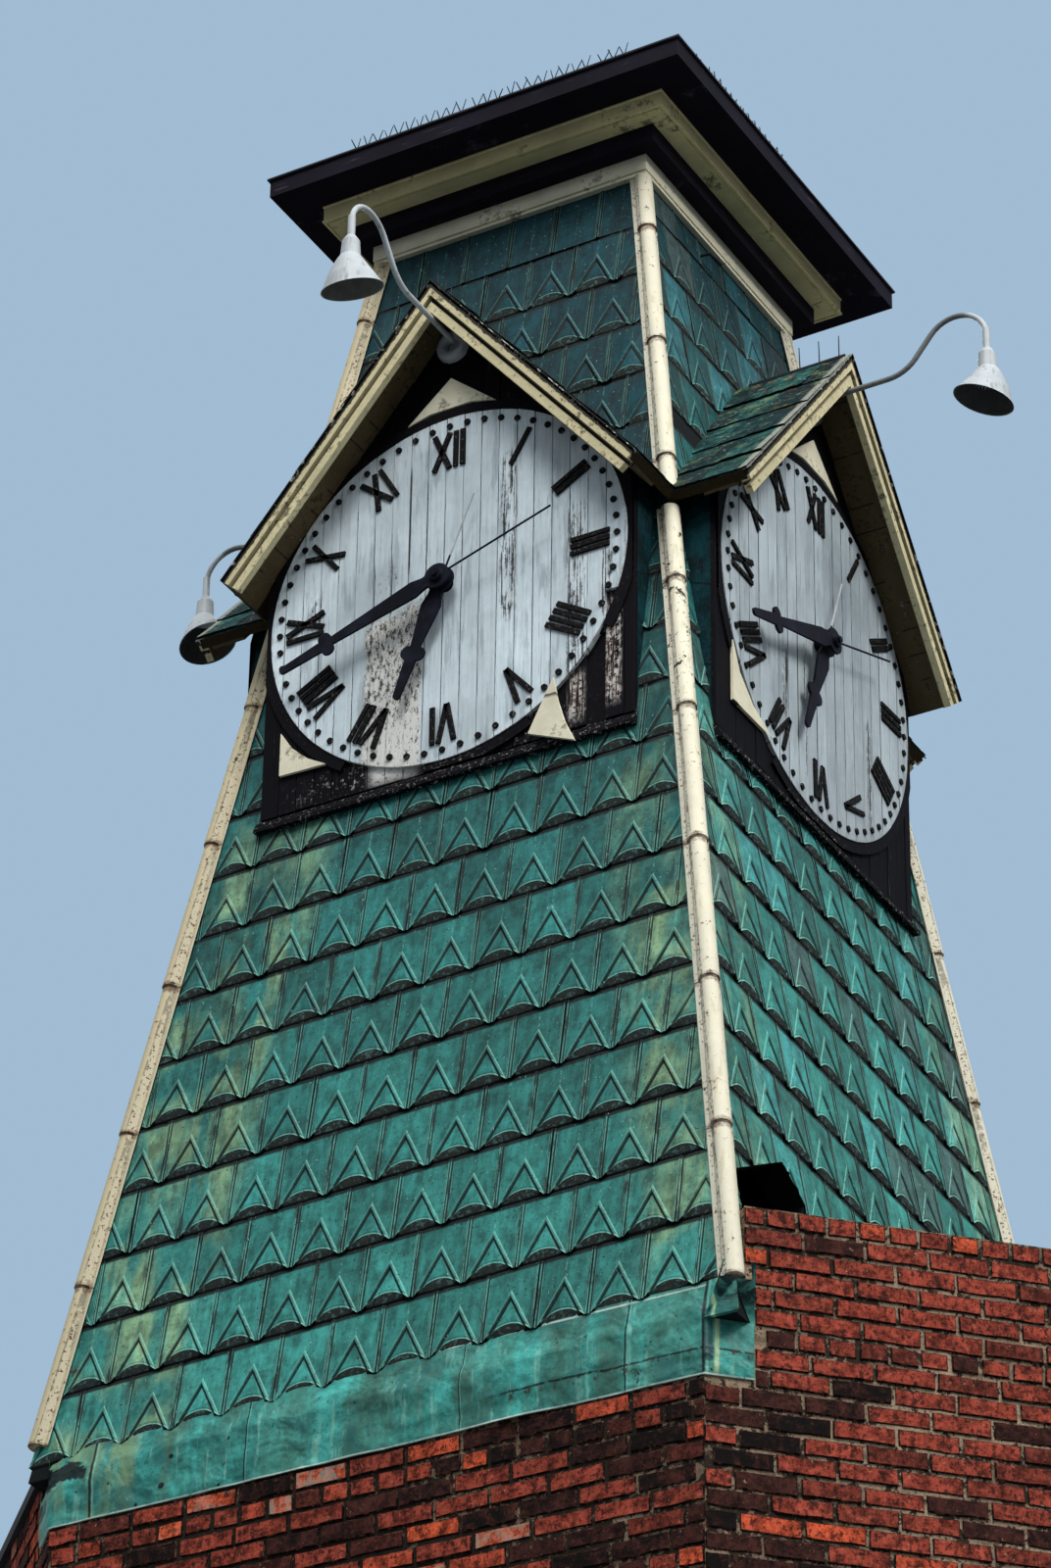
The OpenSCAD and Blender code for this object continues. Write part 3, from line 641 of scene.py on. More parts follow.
def shingle_paint(name):
    """Paint of the pressed tiles: thin light edges, partly wear and partly painted highlights; dark grooves,
    partly painted shade; specks and runs from the seams.
    """
    f = Finish(name, 0.5)
    sizes = settings("wall")
    up = green_base(f)
    u, v, _ = f.on_piece("tile")
    side = abs(u)
    tone = f.mark("tone")
    on_side = f.on_side()
    f.lay(f.shaded(f.base, 0.45 + tone * 1.1), 0.45 + on_side * 0.55)
    # Painted reflection: some tiles of the right and left walls are tinted bluer and others greyer, as the
    # sky's sheen falls on them tile by tile
    f.lay("tile_sky_sheen_blue", f.ease(tone, 0.62, 0.95) * on_side * 0.35)
    f.lay("tile_sky_sheen_grey", f.ease(tone, 0.25, 0.05) * on_side * 0.35)
    patches = f.spots(0.37, 0.63, 13.0, 7.0, 0.75)
    drips = f.ease(f.streaks(36.0, 6.0), 0.38, 0.62)
    f.shade(0.50 + patches * 0.60 + drips * (0.42 - on_side * 0.12))
    inner = side / V_GROOVE[0] + v / V_GROOVE[1]
    outer = side / V_OUTER[0] + v / V_OUTER[1]
    crest = side / V_CREST[0] + v / V_CREST[1]
    face = f.ease(inner, 1.01, 0.97)
    wear = f.grain(60.0, 4.0, 0.7)
    over = v - (1.0 - (side * side) / V_OUTER[0] ** 2).most(0.0) * sizes.lip_rise
    # Painted light: the face inside the V is made lighter, as its tilted facet catches more light; the band
    # of the bead's crest is made a little darker
    f.shade(1.0 + face * 0.26 - f.band(crest, 1.0, 0.10) * 0.22)
    # Painted highlights, broken by wear: light lines along the arched edge, the V's outer line and the seams'
    # beads, as light catches these edges
    light = f.ease(over, 0.0065, 0.0030) * f.ease(side, 0.094, 0.088)
    light = light.most(f.band(outer, 1.0, 0.038) * 0.75).most(f.band(side, 0.0955, 0.0022) * 0.6)
    light = light.most(f.band(side, 0.0878, 0.0020) * 0.45)
    drip = f.band(side, 0.0, 0.004) * f.ease(v, V_OUTER[1] - 0.01, V_OUTER[1] + 0.01)
    drip = drip * f.ease(wear, 0.50, 0.60)
    light = (light * f.ease(wear, 0.26, 0.50)).most(drip * 0.6)
    f.lay("green_worn", light * (0.96 - up * 0.52))
    # Painted shade, with some grime: the V's groove, the seam line, the tile's side edges, a line over the
    # arch and the top of each tile, tucked under the row above, are darkened as shade falls there
    groove = f.band(inner, 1.05, 0.085).most(f.band(side, SEAM_LINE, 0.0030))
    groove = groove.most(f.ease(side, 0.0978, 0.0998))
    groove = groove.most(f.band(over, 0.0095, 0.0035) * f.ease(side, 0.085, 0.075) * 0.5)
    tucked = f.ease(v, sizes.row - 0.016, sizes.row - 0.005)
    f.lay("green_dirt", (groove * f.ease(wear, 0.18, 0.36) * 0.93).most(tucked * 0.95))
    seam_run = f.ease(side, 0.072, 0.0995) * f.ease(f.streaks(40.0, 8.0), 0.50, 0.58)
    f.lay("green_dirt", seam_run * 0.8)
    specks = f.spots(0.625, 0.665, 85.0, 3.0, 0.75)
    f.lay("green_dirt", specks * 0.9)
    chips = f.ease(f.grain(110.0, 3.0, 0.8, stretch=(1.0, 1.0, 0.5)), 0.675, 0.71)
    f.lay("tile_chip", chips * 0.9)
    height = f.grain(9.0, 3.0) * sizes.dent + wear * 0.0008 - specks * 0.0005
    return f.finished(0.45 + wear * 0.3, height, 0.9)


def lip_shadow(name):
    """The recess inside the arched edges: painted shade on dusty grey metal, and black painted shadow along
    the row's straight lower edge.
    """
    f = Finish(name, 0.9, 0.08)
    _, v, _ = f.on_piece("tile")
    dirt = f.grain(55.0, 5.0, 0.75)
    f.base = f.shaded("under_lip", 0.30 + dirt * 1.3)
    f.lay("lip_green", f.ease(dirt, 0.52, 0.62) * 0.6)
    f.lay("lip_brown", f.ease(dirt, 0.44, 0.36) * 0.5)
    # Painted shadow: black along the row's straight lower edge
    f.lay("gap_shadow_black", f.ease(v, RECESS_V + 0.014, RECESS_V + 0.009))
    return f.finished()


def arch_at(x):
    """Height of a tile's lower edge at a distance from its middle line."""
    return settings("wall").lip_rise * max(1 - (x / V_OUTER[0]) ** 2, 0.0)


def batten_dark(name):
    """The boards behind the tiles, seen through the torn hole and at the walls' edges, and the lower edges of
    the gables' sheets, painted near-black as shade.
    """
    f = Finish(name, 0.9)
    cloud = f.grain(20.0, 4.0, 0.7)
    f.base = f.shaded("green_dirt", 0.5 + cloud)
    return f.finished()


def skirt_paint(name):
    """Paint of the skirt's sheet: light runs, dark seams, a rusty fold near its foot, and a torn end and
    small holes painted near-black as shadow.
    """
    f = Finish(name, 0.45)
    run, up, _ = f.on_piece("sheet")
    cloud = f.grain(4.0, 5.0)
    patches = f.spots(0.36, 0.62, 5.5, 6.0, 0.7)
    wide = f.streaks(8.0, 9.0)
    fine = f.streaks(34.0, 12.0)
    f.base = f.shaded("skirt_green", 0.62 + patches * 0.62)
    f.shade(0.66 + f.ease(wide, 0.34, 0.66) * 0.64)
    f.shade(0.74 + f.spots(0.36, 0.64, 26.0, 6.0, 0.75) * 0.52)
    f.lay("green_worn", f.ease(fine, 0.54, 0.66) * f.ease(wide, 0.40, 0.58) * 0.75)
    left = f.ease(run, -0.70, -1.00)
    f.lay("lichen", f.ease(wide, 0.62, 0.44) * (left * 0.6 + 0.10))
    speck = f.grain(30.0, 6.0, 0.75)
    f.lay("green_dirt", f.ease(speck, 0.625, 0.665) * 0.9)
    blotch = f.grain(6.5, 6.0, 0.75)
    f.lay("skirt_blotch", f.ease(blotch, 0.53, 0.60) * 0.7)
    for at, width in SKIRT_SEAMS:
        f.lay("green_dirt", f.band(run + fine * 0.006, at + 0.003, width * 1.5) * 0.95)
        f.lay("green_worn", f.band(run, at + width * 2.2, width) * 0.6)
    # Painted shadow: small holes in the sheet are near-black spots
    for at, high, size in SKIRT_HOLES:
        off = (run - at) * (run - at) + (up - high) * (up - high) + (speck - 0.5) * size * size * 2.0
        f.lay("skirt_hole_shadow", f.ease(off, size * size, size * size * 0.4))
    fold = f.band(up + cloud * 0.03, 0.108, 0.007) * f.ease(run, 0.35, 0.60)
    rusty = f.band(up + cloud * 0.03, 0.094, 0.028) * f.ease(run, 0.30, 0.55) * f.ease(speck, 0.52, 0.60)
    f.lay("stain", rusty * 0.85)
    f.lay("green_dirt", fold * f.ease(speck, 0.38, 0.48) * 0.9)
    past = run - CORNER_X
    flap = f.ease(past, 0.0, 0.004)
    streak = f.band(past + (cloud - 0.5) * 0.012, 0.046, 0.012) * flap
    f.lay("flap_streak", streak * 0.9)
    panel = f.ease(past, 0.034, 0.030) * flap * f.ease(up, 0.235, 0.228) * f.ease(up, 0.045, 0.052)
    f.lay("green_high", panel * 0.7)
    folds = f.grain(13.0, 4.0, 0.6, 1.2, stretch=(1.0, 1.0, 1.6))
    dark = f.ease(past, 0.055, 0.075) * f.ease(up + folds * 0.10, 0.26, 0.31)
    f.lay("flap_shadow", dark * f.ease(folds, 0.62, 0.42) * 0.97)
    # Painted shadow: the mouth of the torn end is painted near-black
    inward = run + CORNER_X
    torn = abs(up + (folds - 0.5) * 0.10 + inward * 0.35 - 0.225) + inward * 0.16
    mouth_shadow = f.ease(run, -1.112, -1.122) * f.ease(torn, 0.052, 0.040)
    f.lay("torn_mouth_shadow", mouth_shadow * 0.97)
    edge = f.ease(up, 0.007, 0.004).most(f.band(up, 0.331, 0.006) * f.ease(past, 0.0, -0.01))
    f.lay("skirt_edge", edge * f.ease(speck, 0.34, 0.46) * 0.85)
    height = f.grain(4.5, 3.0, 0.5, 0.6) * 0.044 + f.grain(11.0, 3.0, 0.5, 0.8) * 0.008
    return f.finished(0.38 + cloud * 0.2, height, 0.9)


def brick_clay(name):
    """Fired clay. A brick's tone runs from dark to bright; under 0 it is sooty and over 1 limed."""
    f = Finish(name, 0.85, 0.12)
    tone = f.mark("tone")
    f.base = f.blend("brick_dark", "brick_red", f.ease(tone, 0.0, 0.42))
    f.lay("brick_bright", f.ease(tone, 0.72, 0.98))
    patch = f.grain(20.0, 8.0, 0.78)
    fine = f.grain(48.0, 6.0, 0.8)
    drips = f.grain(1.0, 5.0, 0.7, stretch=(60.0, 60.0, 14.0))
    f.shade(0.34 + f.ease(patch, 0.36, 0.62) * 1.20)
    blots = f.ease(fine + (drips - 0.5) * 0.4, 0.51, 0.58)
    f.lay("brick_blot", blots * 0.85)
    f.lay("brick_fresh", f.ease(fine, 0.42, 0.34) * 0.55 * f.ease(tone, 0.0, 0.3))
    limed = f.ease(tone, 1.0, 1.5)
    lime = f.ease(patch + fine * 0.6 + limed * 0.05, 0.80, 0.92) * limed
    f.lay("brick_lime", lime * 0.8)
    f.lay("mortar", f.spots(0.64, 0.69, 42.0, 5.0, 0.75) * 0.7)
    sooty = f.ease(tone, 0.0, -1.0)
    soot = f.ease(patch * 0.6 + fine * 0.4 - sooty * 0.22, 0.42, 0.28) * f.ease(tone, 0.0, -0.1)
    f.lay("soot", soot * 0.93)
    return f.finished(0.9, patch * 0.006 + fine * 0.003)


def brick_rim(name):
    """The bricks' worn edges and sides, painted near-black as shade in the joints and dark red in places."""
    f = Finish(name, 0.95, 0.08)
    fine = f.grain(45.0, 5.0, 0.7)
    f.base = f.blend("rim_shadow", "rim_red", f.ease(fine, 0.48, 0.64))
    return f.finished()


def lime_mortar(name):
    """Mortar between the bricks: light lime in places, dark in others, partly soot and partly painted shade
    in the joints, and sooty on the front.
    """
    f = Finish(name, 0.95, 0.1)
    _, y, _ = f.axes(f.place)
    cloud = f.grain(24.0, 7.0, 0.78)
    wide = f.grain(1.7, 5.0, 0.65)
    f.base = f.shaded("mortar", 0.30 + f.ease(cloud, 0.36, 0.62) * 0.95)
    front = f.ease(y, -BRICK_FRONT + 0.05, -BRICK_FRONT - 0.001)
    # Painted shade with soot: much of the mortar is darkened, as the joints are shaded
    dirty = f.ease(wide * 0.5 + cloud + front * 0.05, 0.72, 0.78)
    f.lay("soot", dirty * 0.95)
    return f.finished(None, f.grain(120.0, 3.0, 0.8) * 0.004)


def cream_metal(name):
    """Cream paint of the hip rolls: painted shadow in the laps and creases, rust dots along them and a few
    rusty holes.
    """
    f = Finish(name, 0.5)
    x, y, z = f.axes(f.place)
    across = (abs(x) - abs(y)) * 0.7071
    side = abs(across)
    lean = (settings("wall").foot_half - settings("wall").top_half) / (WALL_TOP_Z - SKIRT_Z)
    out = abs(x) + abs(y) - 2 * wall_half(ROLL_FOOT_Z)
    along = (z - ROLL_FOOT_Z - out * lean) / (1 + 2 * lean**2)
    cloud = f.grain(7.0, 5.0)
    grain = f.grain(38.0, 6.0, 0.75)
    f.base = f.shaded("cream", 0.80 + cloud * 0.36)
    f.shade(1.0 - f.ease(z, SKIRT_Z + 3.6, WALL_TOP_Z) * 0.22)
    left = f.ease(x, 0.3, -0.3)
    f.lay("roll_yellow", left * 0.75)
    drips = f.streaks(42.0, 10.0)
    f.lay("roll_run", f.ease(drips, 0.55, 0.68) * 0.50)
    wing = f.ease(side, 0.0285, 0.033)
    f.lay("roll_wing", wing * 0.30)
    # Painted shadow: a thin dark line in the crease between the roll and its wing
    crease = f.band(side + (cloud - 0.5) * 0.004, 0.0315, 0.0020) * f.ease(grain, 0.40, 0.52)
    f.lay("roll_crease_shadow", crease * 0.6)
    # Painted shadow: a thin black line under each lap
    lap = (along / ROLL_LENGTH).fraction()
    line = f.ease(lap + (cloud - 0.5) * 0.004, 0.991, 0.994)
    f.lay("soot", line * f.ease(grain, 0.30, 0.40) * 0.9)
    stained = f.ease(lap, 0.10, 0.0).most(f.ease(lap, 0.90, 0.985))
    f.lay("rust", f.ease(stained * grain, 0.36, 0.56) * 0.7)
    beside = f.band(side, 0.036, 0.008) * f.spots(0.585, 0.64, 90.0, 2.0)
    f.lay("rust", beside * 0.95)
    f.lay("rust", f.ease(grain + abs(along - 3.75).least(1.0) * 0.03, 0.635, 0.67) * 0.85)
    hole = f.ease(f.grain(13.0, 6.0, 0.8) + f.ease(abs(along - 3.0), 0.7, 0.1) * 0.07, 0.655, 0.675)
    f.lay("rust_hole", hole)
    return f.finished(0.4 + cloud * 0.25, grain * 0.0016 - hole * 0.003)


def cream_boards(name, colour_name, joint):
    """Aged cream paint on boards, stained brown, with a joint across the boards now and then."""
    f = Finish(name, 0.7)
    _, _, z = f.axes(f.place)
    cloud = f.grain(5.0, 6.0, 0.65)
    f.base = f.shaded(colour_name, 0.55 + cloud * 0.80)
    fine = f.grain(34.0, 6.0, 0.75)
    f.lay("stain", f.ease(cloud + fine * 0.6, 0.88, 1.02) * 0.75)
    crack = (z / joint + f.grain(3.0) * 0.08).fraction()
    f.lay("soot", f.ease(crack, 0.985, 0.997) * 0.85)
    f.lay("soot", f.ease(fine, 0.68, 0.72) * 0.7)
    return f.finished(None, fine * 0.0012 + cloud * 0.002)


def verge_paint(name):
    """The gables' boards: peeling cream faces with a black groove, painted as shade, and stained soffit
    boards inside.
    """
    f = Finish(name, 0.7)
    x, y, z = f.axes(f.place)
    out = abs(x).most(abs(y))
    across = abs(x).least(abs(y))
    under = under_slope(across, z)
    along = (across - z * 0.72) * 0.81
    cloud = f.grain(5.0, 6.0, 0.65)
    fine = f.grain(34.0, 6.0, 0.75)
    face = f.shaded("cream_aged", 0.50 + cloud * 0.80)
    face = f.blend(face, "stain", f.ease(fine + cloud * 0.5, 0.78, 0.92) * 0.8)
    peeled = f.ease(under + (fine - 0.5) * 0.03, 0.026, 0.022)
    face = f.blend(face, "soot", peeled * 0.95)
    soffit = f.shaded("soffit", 0.30 + cloud * 1.4)
    soffit = f.blend(soffit, "soot", f.ease(fine + cloud * 0.4, 0.74, 0.84) * 0.75)
    soffit = f.blend(soffit, "cream_aged", f.ease(fine, 0.60, 0.68) * 0.4)
    joint = (along / 0.098 + fine * 0.10).fraction()
    broken = f.spots(0.44, 0.52, 7.0, 3.0)
    soffit = f.blend(soffit, "soot", f.ease(joint, 0.93, 0.97) * broken * 0.9)
    f.base = f.blend(face, soffit, f.ease(out, GABLE_OUT - 0.040, GABLE_OUT - 0.044))
    # Painted shade in the groove of the face; a dark line by the soffit and the boards' ends are painted dark
    # too
    line = f.band(out, GABLE_OUT - 0.052, 0.006)
    groove = f.band(under, 0.054, 0.011) * f.ease(out, GABLE_OUT - 0.045, GABLE_OUT - 0.040)
    end = f.ease(across, GABLE_HALF - 0.016, GABLE_HALF - 0.011)
    f.lay("soot", groove.most(line).most(end).most(f.ease(fine, 0.66, 0.70) * 0.75))
    return f.finished(None, fine * 0.0015 + cloud * 0.002)


def under_slope(across, z):
    """How deep a point lies under a gable's slopes, square to them."""
    return (GABLE_Z - z - across * GABLE_PITCH) * math.cos(math.atan(GABLE_PITCH))


def dark_case(name):
    """Near-black paint of the case's front and sill, and dark green metal on its cheeks."""
    f = Finish(name, 0.75, 0.08)
    x, y, z = f.axes(f.place)
    fibre = f.streaks(90.0, 6.0)
    fine = f.grain(60.0, 6.0, 0.8)
    f.base = f.shaded("black", 0.4 + fibre * 1.1)
    out = abs(x).most(abs(y))
    sill = f.ease(z, CASE_FOOT_Z + 0.10, CASE_FOOT_Z + 0.06)
    cheek = f.ease(out, 0.985, 0.980) * (1.0 - sill)
    row = ((z + out * 0.4) / 0.35).fraction()
    green = f.shaded("green_high", 0.30 + f.spots(0.36, 0.64, 12.0, 6.0, 0.7) * 0.8)
    green = f.blend(green, "green_dirt", f.ease(row, 0.965, 0.985).most(f.ease(fine, 0.60, 0.66)) * 0.9)
    f.lay(green, cheek)
    worn = f.ease(fine, 0.575, 0.63) * (sill * 0.85 + 0.04)
    f.lay("case_worn", worn)
    return f.finished(None, fibre * 0.003)


def strips(f, u, v, places):
    """1 on upright strips of a dial or its case, as the lists of strips give them."""
    found = 0.0
    for middle, half, top, foot in places:
        high, low = top + SKIRT_Z - DIAL_Z, foot + SKIRT_Z - DIAL_Z
        strip = f.ease(abs(u - middle), half, half * 0.5) * f.ease(v, high + 0.03, high - 0.05)
        strip = strip * f.ease(v, low - 0.03, low + 0.05)
        found = strip.most(found)
    return found


def black_boards(name, state):
    """Near-black paint on boards; the peeled ones show bare wood and white primer in places."""
    f = Finish(name, 0.75, 0.08)
    u, v, _ = f.on_piece("face")
    tone = f.mark("tone")
    fibre = f.streaks(110.0, 16.0)
    fine = f.grain(48.0, 6.0, 0.8)
    f.base = f.shaded("black", 0.35 + fibre * 0.9 + tone * 0.3)
    f.lay("board_worn", f.ease(fibre, 0.66, 0.72) * 0.5)
    if state == "peeled":
        bare = f.blend("bare_wood", "wood_grey", f.ease(fine, 0.46, 0.54))
        bare = f.blend(bare, "wood_crack", f.ease(fibre, 0.52, 0.57))
        wood = strips(f, u, v, CASE_BARE) * f.ease(fibre * 0.6 + fine * 0.6, 0.53, 0.58)
        f.lay(bare, wood * 0.95)
        patch = strips(f, u, v, CASE_PRIMED) * f.ease(fine, 0.40, 0.44)
        f.lay("primer", patch)
        flakes = strips(f, u, v, CASE_FLAKED) * f.ease(fine + fibre * 0.3, 0.72, 0.78)
        f.lay("primer_flake", flakes * 0.9)
    return f.finished(None, fibre * 0.003)


def roof_edge_paint(name):
    """Near-black purple paint of the roof's edge and soffit, a little worn; on the soffits the near-black is
    painted shade.
    """
    f = Finish(name, 0.7, 0.08)
    cloud = f.grain(6.0, 5.0)
    f.base = f.shaded("purple", 0.30 + cloud * 0.8)
    worn = f.ease(f.grain(1.0, 5.0, 0.7, stretch=(6.0, 6.0, 60.0)), 0.60, 0.72)
    f.lay("purple_worn", worn * 0.5)
    return f.finished(None, cloud * 0.004)


def dark_metal(name):
    """Dark folded metal of the coping and the roof's top."""
    f = Finish(name, 0.55, 0.15)
    cloud = f.grain(5.0, 6.0, 0.7)
    f.base = f.blend("metal_dark", "metal_dusty", f.ease(cloud, 0.35, 0.7))
    return f.finished(0.45 + cloud * 0.3, f.grain(2.5) * 0.01)


def roof_felt(name):
    """Felt of the flat roof, with pale dust."""
    f = Finish(name, 0.95)
    cloud = f.grain(2.2, 6.0, 0.7)
    f.base = f.blend("felt", "felt_dust", f.ease(cloud, 0.35, 0.75))
    return f.finished(None, f.grain(150.0, 2.0) * 0.002)


def dial_paint(name, wear):
    """White paint on a dial's boards: grey weathering, dark splits, flaking strips and a bare patch; the
    right and left dials are painted darker as shade.
    """
    f = Finish(name, 0.6)
    rotten, gaps, patched = DIAL_WEAR[wear]
    u, v, _ = f.on_piece("face")
    tone = f.mark("tone")
    on_side = f.on_side()
    cloud = f.spots(0.34, 0.66, 3.4, 6.0, 0.65)
    fibre = f.streaks(75.0, 22.0)
    hair = f.streaks(170.0, 40.0)
    f.base = f.shaded("white", 0.72 + tone * 0.20 + cloud * 0.22)
    # Painted shade: the dials on the right and left are made about a third darker than the front and back
    f.shade((0.80 + fibre * 0.44) * (1.0 - on_side * 0.32))
    grey = f.streaks(22.0, 7.0)
    f.lay("dial_grey", f.ease(grey, 0.52, 0.66) * 0.55)
    flake = f.grain(60.0, 6.0, 0.82, stretch=(1.0, 1.0, 0.4))
    seam = abs(((u + (flake - 0.5) * 0.006 - BOARD_JOINT) / settings("dial").board).fraction() - 0.5)
    f.lay("dial_seam", f.ease(seam, 0.468, 0.486) * f.ease(cloud + fibre, 0.60, 1.15))
    rot = strips(f, u, v, rotten)
    f.lay("dial_flake", f.ease(flake, 0.46, 0.40) * rot)
    crumb = f.ease(flake + (hair - 0.5) * 1.4 + rot * 0.07, 0.605, 0.645)
    f.lay("dial_crumb", crumb * (rot * 0.88 + 0.07))
    cracks = f.ease(hair + rot * 0.06, 0.645, 0.675)
    f.lay("dial_crack", cracks * (rot * 0.4 + 0.5))
    split = strips(f, u + (flake - 0.5) * 0.004, v, gaps)
    f.lay("dial_split", split * 0.95)
    height = fibre * 0.003 - crumb * rot * 0.002
    if patched:
        wobble = f.grain(11.0, 6.0, 0.75) - 0.5
        low = f.ease(v, -0.40, -0.62)
        patch = f.ease(abs(u + 0.222 + wobble * 0.06), 0.126, 0.116) * f.ease(v + wobble * 0.5, -0.05, -0.08)
        flaked = f.blend("patch_wood", "patch_white", f.ease(flake + low * 0.05, 0.45, 0.50))
        f.lay(flaked, patch)
        speckle = strips(f, u, v, SPECKLED) * f.ease(flake, 0.54, 0.60)
        f.lay("soot", speckle * 0.8)
        height = height + flake * patch * 0.005
    rim = f.ease(u * u + v * v, (DIAL_R - 0.014) ** 2, DIAL_R**2) * f.ease(flake, 0.48, 0.58)
    f.lay("bare_wood", rim * 0.6)
    return f.finished(None, height)


def black_paint(name):
    """Black paint of the hands, with patches of painted blue sheen."""
    f = Finish(name, 0.5, 0.1)
    cloud = f.grain(16.0, 5.0)
    fine = f.grain(1.0, 5.0, 0.7, stretch=(30.0, 30.0, 120.0))
    f.base = f.blend("hand_black", "hand_blue_sheen", f.ease(cloud, 0.35, 0.75))
    f.lay("hand_worn", f.ease(fine, 0.62, 0.72) * 0.4)
    return f.finished(0.5 + cloud * 0.25, cloud * 0.001)


def hour_paint(name, side):
    """Black paint of an hour hand, with patches of painted blue sheen and the pale sleeve on its thin tail.
    """
    f = Finish(name, 0.5, 0.1)
    x, y, z = f.axes(f.place)
    right = (x, y, 0.0 - x, 0.0 - y)[side]
    along = right * HOUR_TAIL[0] + (z - DIAL_Z) * HOUR_TAIL[1]
    cloud = f.grain(16.0, 5.0)
    f.base = f.blend("hand_black", "hand_blue_sheen", f.ease(cloud, 0.35, 0.75))
    f.lay(f.shaded("hand_sleeve", 0.5 + cloud), f.ease(along, 0.10, 0.11))
    return f.finished(0.5 + cloud * 0.25)


def numeral_paint(name):
    """Black paint of the numerals, chipped to grey wood."""
    f = Finish(name, 0.7, 0.1)
    fine = f.grain(75.0, 5.0, 0.75)
    f.base = f.blend("numeral_black", "numeral_wood", f.ease(fine, 0.575, 0.65) * 0.7)
    return f.finished(None, fine * 0.002)


def spike_metal(name):
    """Dull dark wire of the bird spikes."""
    f = Finish(name, 0.6, 0.1)
    cloud = f.grain(30.0, 4.0)
    f.base = f.shaded("spike_wire", 0.6 + cloud * 0.8)
    return f.finished()


def gable_metal(name):
    """Old lapped metal on the gables: dark green paint going to moss and rust, with a chipped drip edge."""
    f = Finish(name, 0.65, 0.15)
    x, y, z = f.axes(f.place)
    tone = f.mark("tone")
    cloud = f.grain(5.5, 6.0, 0.65)
    fine = f.grain(36.0, 6.0, 0.8)
    moss = f.grain(10.0, 8.0, 0.78)
    f.base = f.blend("green_high", "green_low", f.ease(moss + (tone - 0.5) * 0.2, 0.46, 0.62) * 0.6)
    f.shade(0.35 + f.ease(cloud, 0.36, 0.64) * 0.5)
    high = f.ease(z, GABLE_Z - 0.62, GABLE_Z - 0.10)
    f.lay("moss", f.ease(moss, 0.54, 0.58) * (0.25 + high * 0.65))
    rust = f.spots(0.58, 0.61, 13.0, 7.0, 0.75)
    f.lay("gable_rust", rust * high * 0.8)
    f.lay("gable_chip", f.ease(fine, 0.60, 0.64) * 0.75)
    f.lay("soot", f.ease(fine, 0.47, 0.42) * 0.9)
    out = abs(x).most(abs(y))
    under = under_slope(abs(x).least(abs(y)), z)
    edging = f.band(out, GABLE_OUT - 0.018, 0.030) * f.ease(under, 0.001, 0.0)
    f.lay("gable_edging", edging * f.ease(fine, 0.36, 0.46) * 0.8)
    chips = f.spots(0.56, 0.60, 22.0, 4.0, 0.7) * 0.9
    edge = f.blend("soot", "gable_cream", chips)
    edge = f.blend(edge, f.shaded("stain", 0.3 + fine), f.ease(out, GABLE_OUT - 0.018, GABLE_OUT - 0.022))
    f.lay(edge, f.ease(under, 0.0012, 0.0022))
    return f.finished(0.6 + cloud * 0.3, moss * 0.016 + fine * 0.005)


def lamp_enamel(name):
    """Pale grey enamel with dirt running down it; the arms of the side lamps are painted darker as shade."""
    f = Finish(name, 0.4, 0.3)
    x, y, _ = f.axes(f.place)
    cloud = f.grain(11.0, 5.0)
    run = f.streaks(60.0, 10.0)
    f.base = f.shaded("enamel", 0.60 + cloud * 0.6)
    out = abs(x).most(abs(y))
    # Painted shade: the side lamps' arms are darkened, as they are seen in shade against the sky
    shaded_arm = f.ease(out, LAMP_OUT - 0.06, LAMP_OUT - 0.10) * f.ease(abs(x) - abs(y), -0.5, 0.5)
    f.lay("lamp_arm_shade", shaded_arm * 0.75)
    f.lay("lamp_dirt", f.ease(run, 0.55, 0.68) * 0.45)
    return f.finished(0.35 + cloud * 0.25, cloud * 0.0015)


def shade_inside(name):
    """The inside of a lamp's shade, painted dark as shade, darker on the side lamps than on the front and
    back.
    """
    f = Finish(name, 0.8, 0.08)
    cloud = f.grain(25.0, 5.0)
    x, y, _ = f.axes(f.place)
    f.base = f.blend("shade_front", "lampshade_shadow_side", f.ease(abs(x) - abs(y), -0.5, 0.5))
    f.shade(0.5 + cloud)
    return f.finished()


def floor_finish(name):
    """Plain pale floor."""
    f = Finish(name, 0.8)
    cloud = f.grain(0.8, 3.0)
    f.base = f.shaded("floor", 0.94 + cloud * 0.12)
    return f.finished()


def turned(side):
    """Turns what is built on the front to a side, counted anticlockwise from above."""
    return Matrix.Rotation(math.radians(90 * side), 4, "Z")


def columns(right, up, out, origin):
    """The matrix of a frame from its three directions and its origin."""
    return Matrix([[right[i], up[i], out[i], origin[i]] for i in range(3)] + [[0, 0, 0, 1]])


def dent_at(run, height):
    """How far the skirt's sheet is pushed out at a point of it."""
    swell = noise.noise(Vector((run * 2.6, height * 7.0, 3.7))) * 0.014
    swell += noise.noise(Vector((run * 9.0, height * 19.0, 8.1))) * 0.005
    crease = abs(noise.noise(Vector((run * 1.3 + 5, height * 11.0, 1.2)))) ** 0.6 * 0.012
    top = settings("wall").first_row - 0.03 + 0.035 * run
    fade = min(max((top - height) / 0.06, 0.0), 1.0)
    if abs(run) > CORNER_X:
        fade = 1.0
    corner = min(abs(abs(run) - CORNER_X) / 0.03, 1.0)
    return max(swell + crease + 0.002, 0.0) * fade * (0.25 + 0.75 * corner)


def dial_frame(out=DIAL_OUT):
    """Right, up and out of the front dial, from its centre, at a distance from the tower's axis."""
    return columns((1, 0, 0), (0, 0, 1), (0, -1, 0), (0, -out, DIAL_Z))


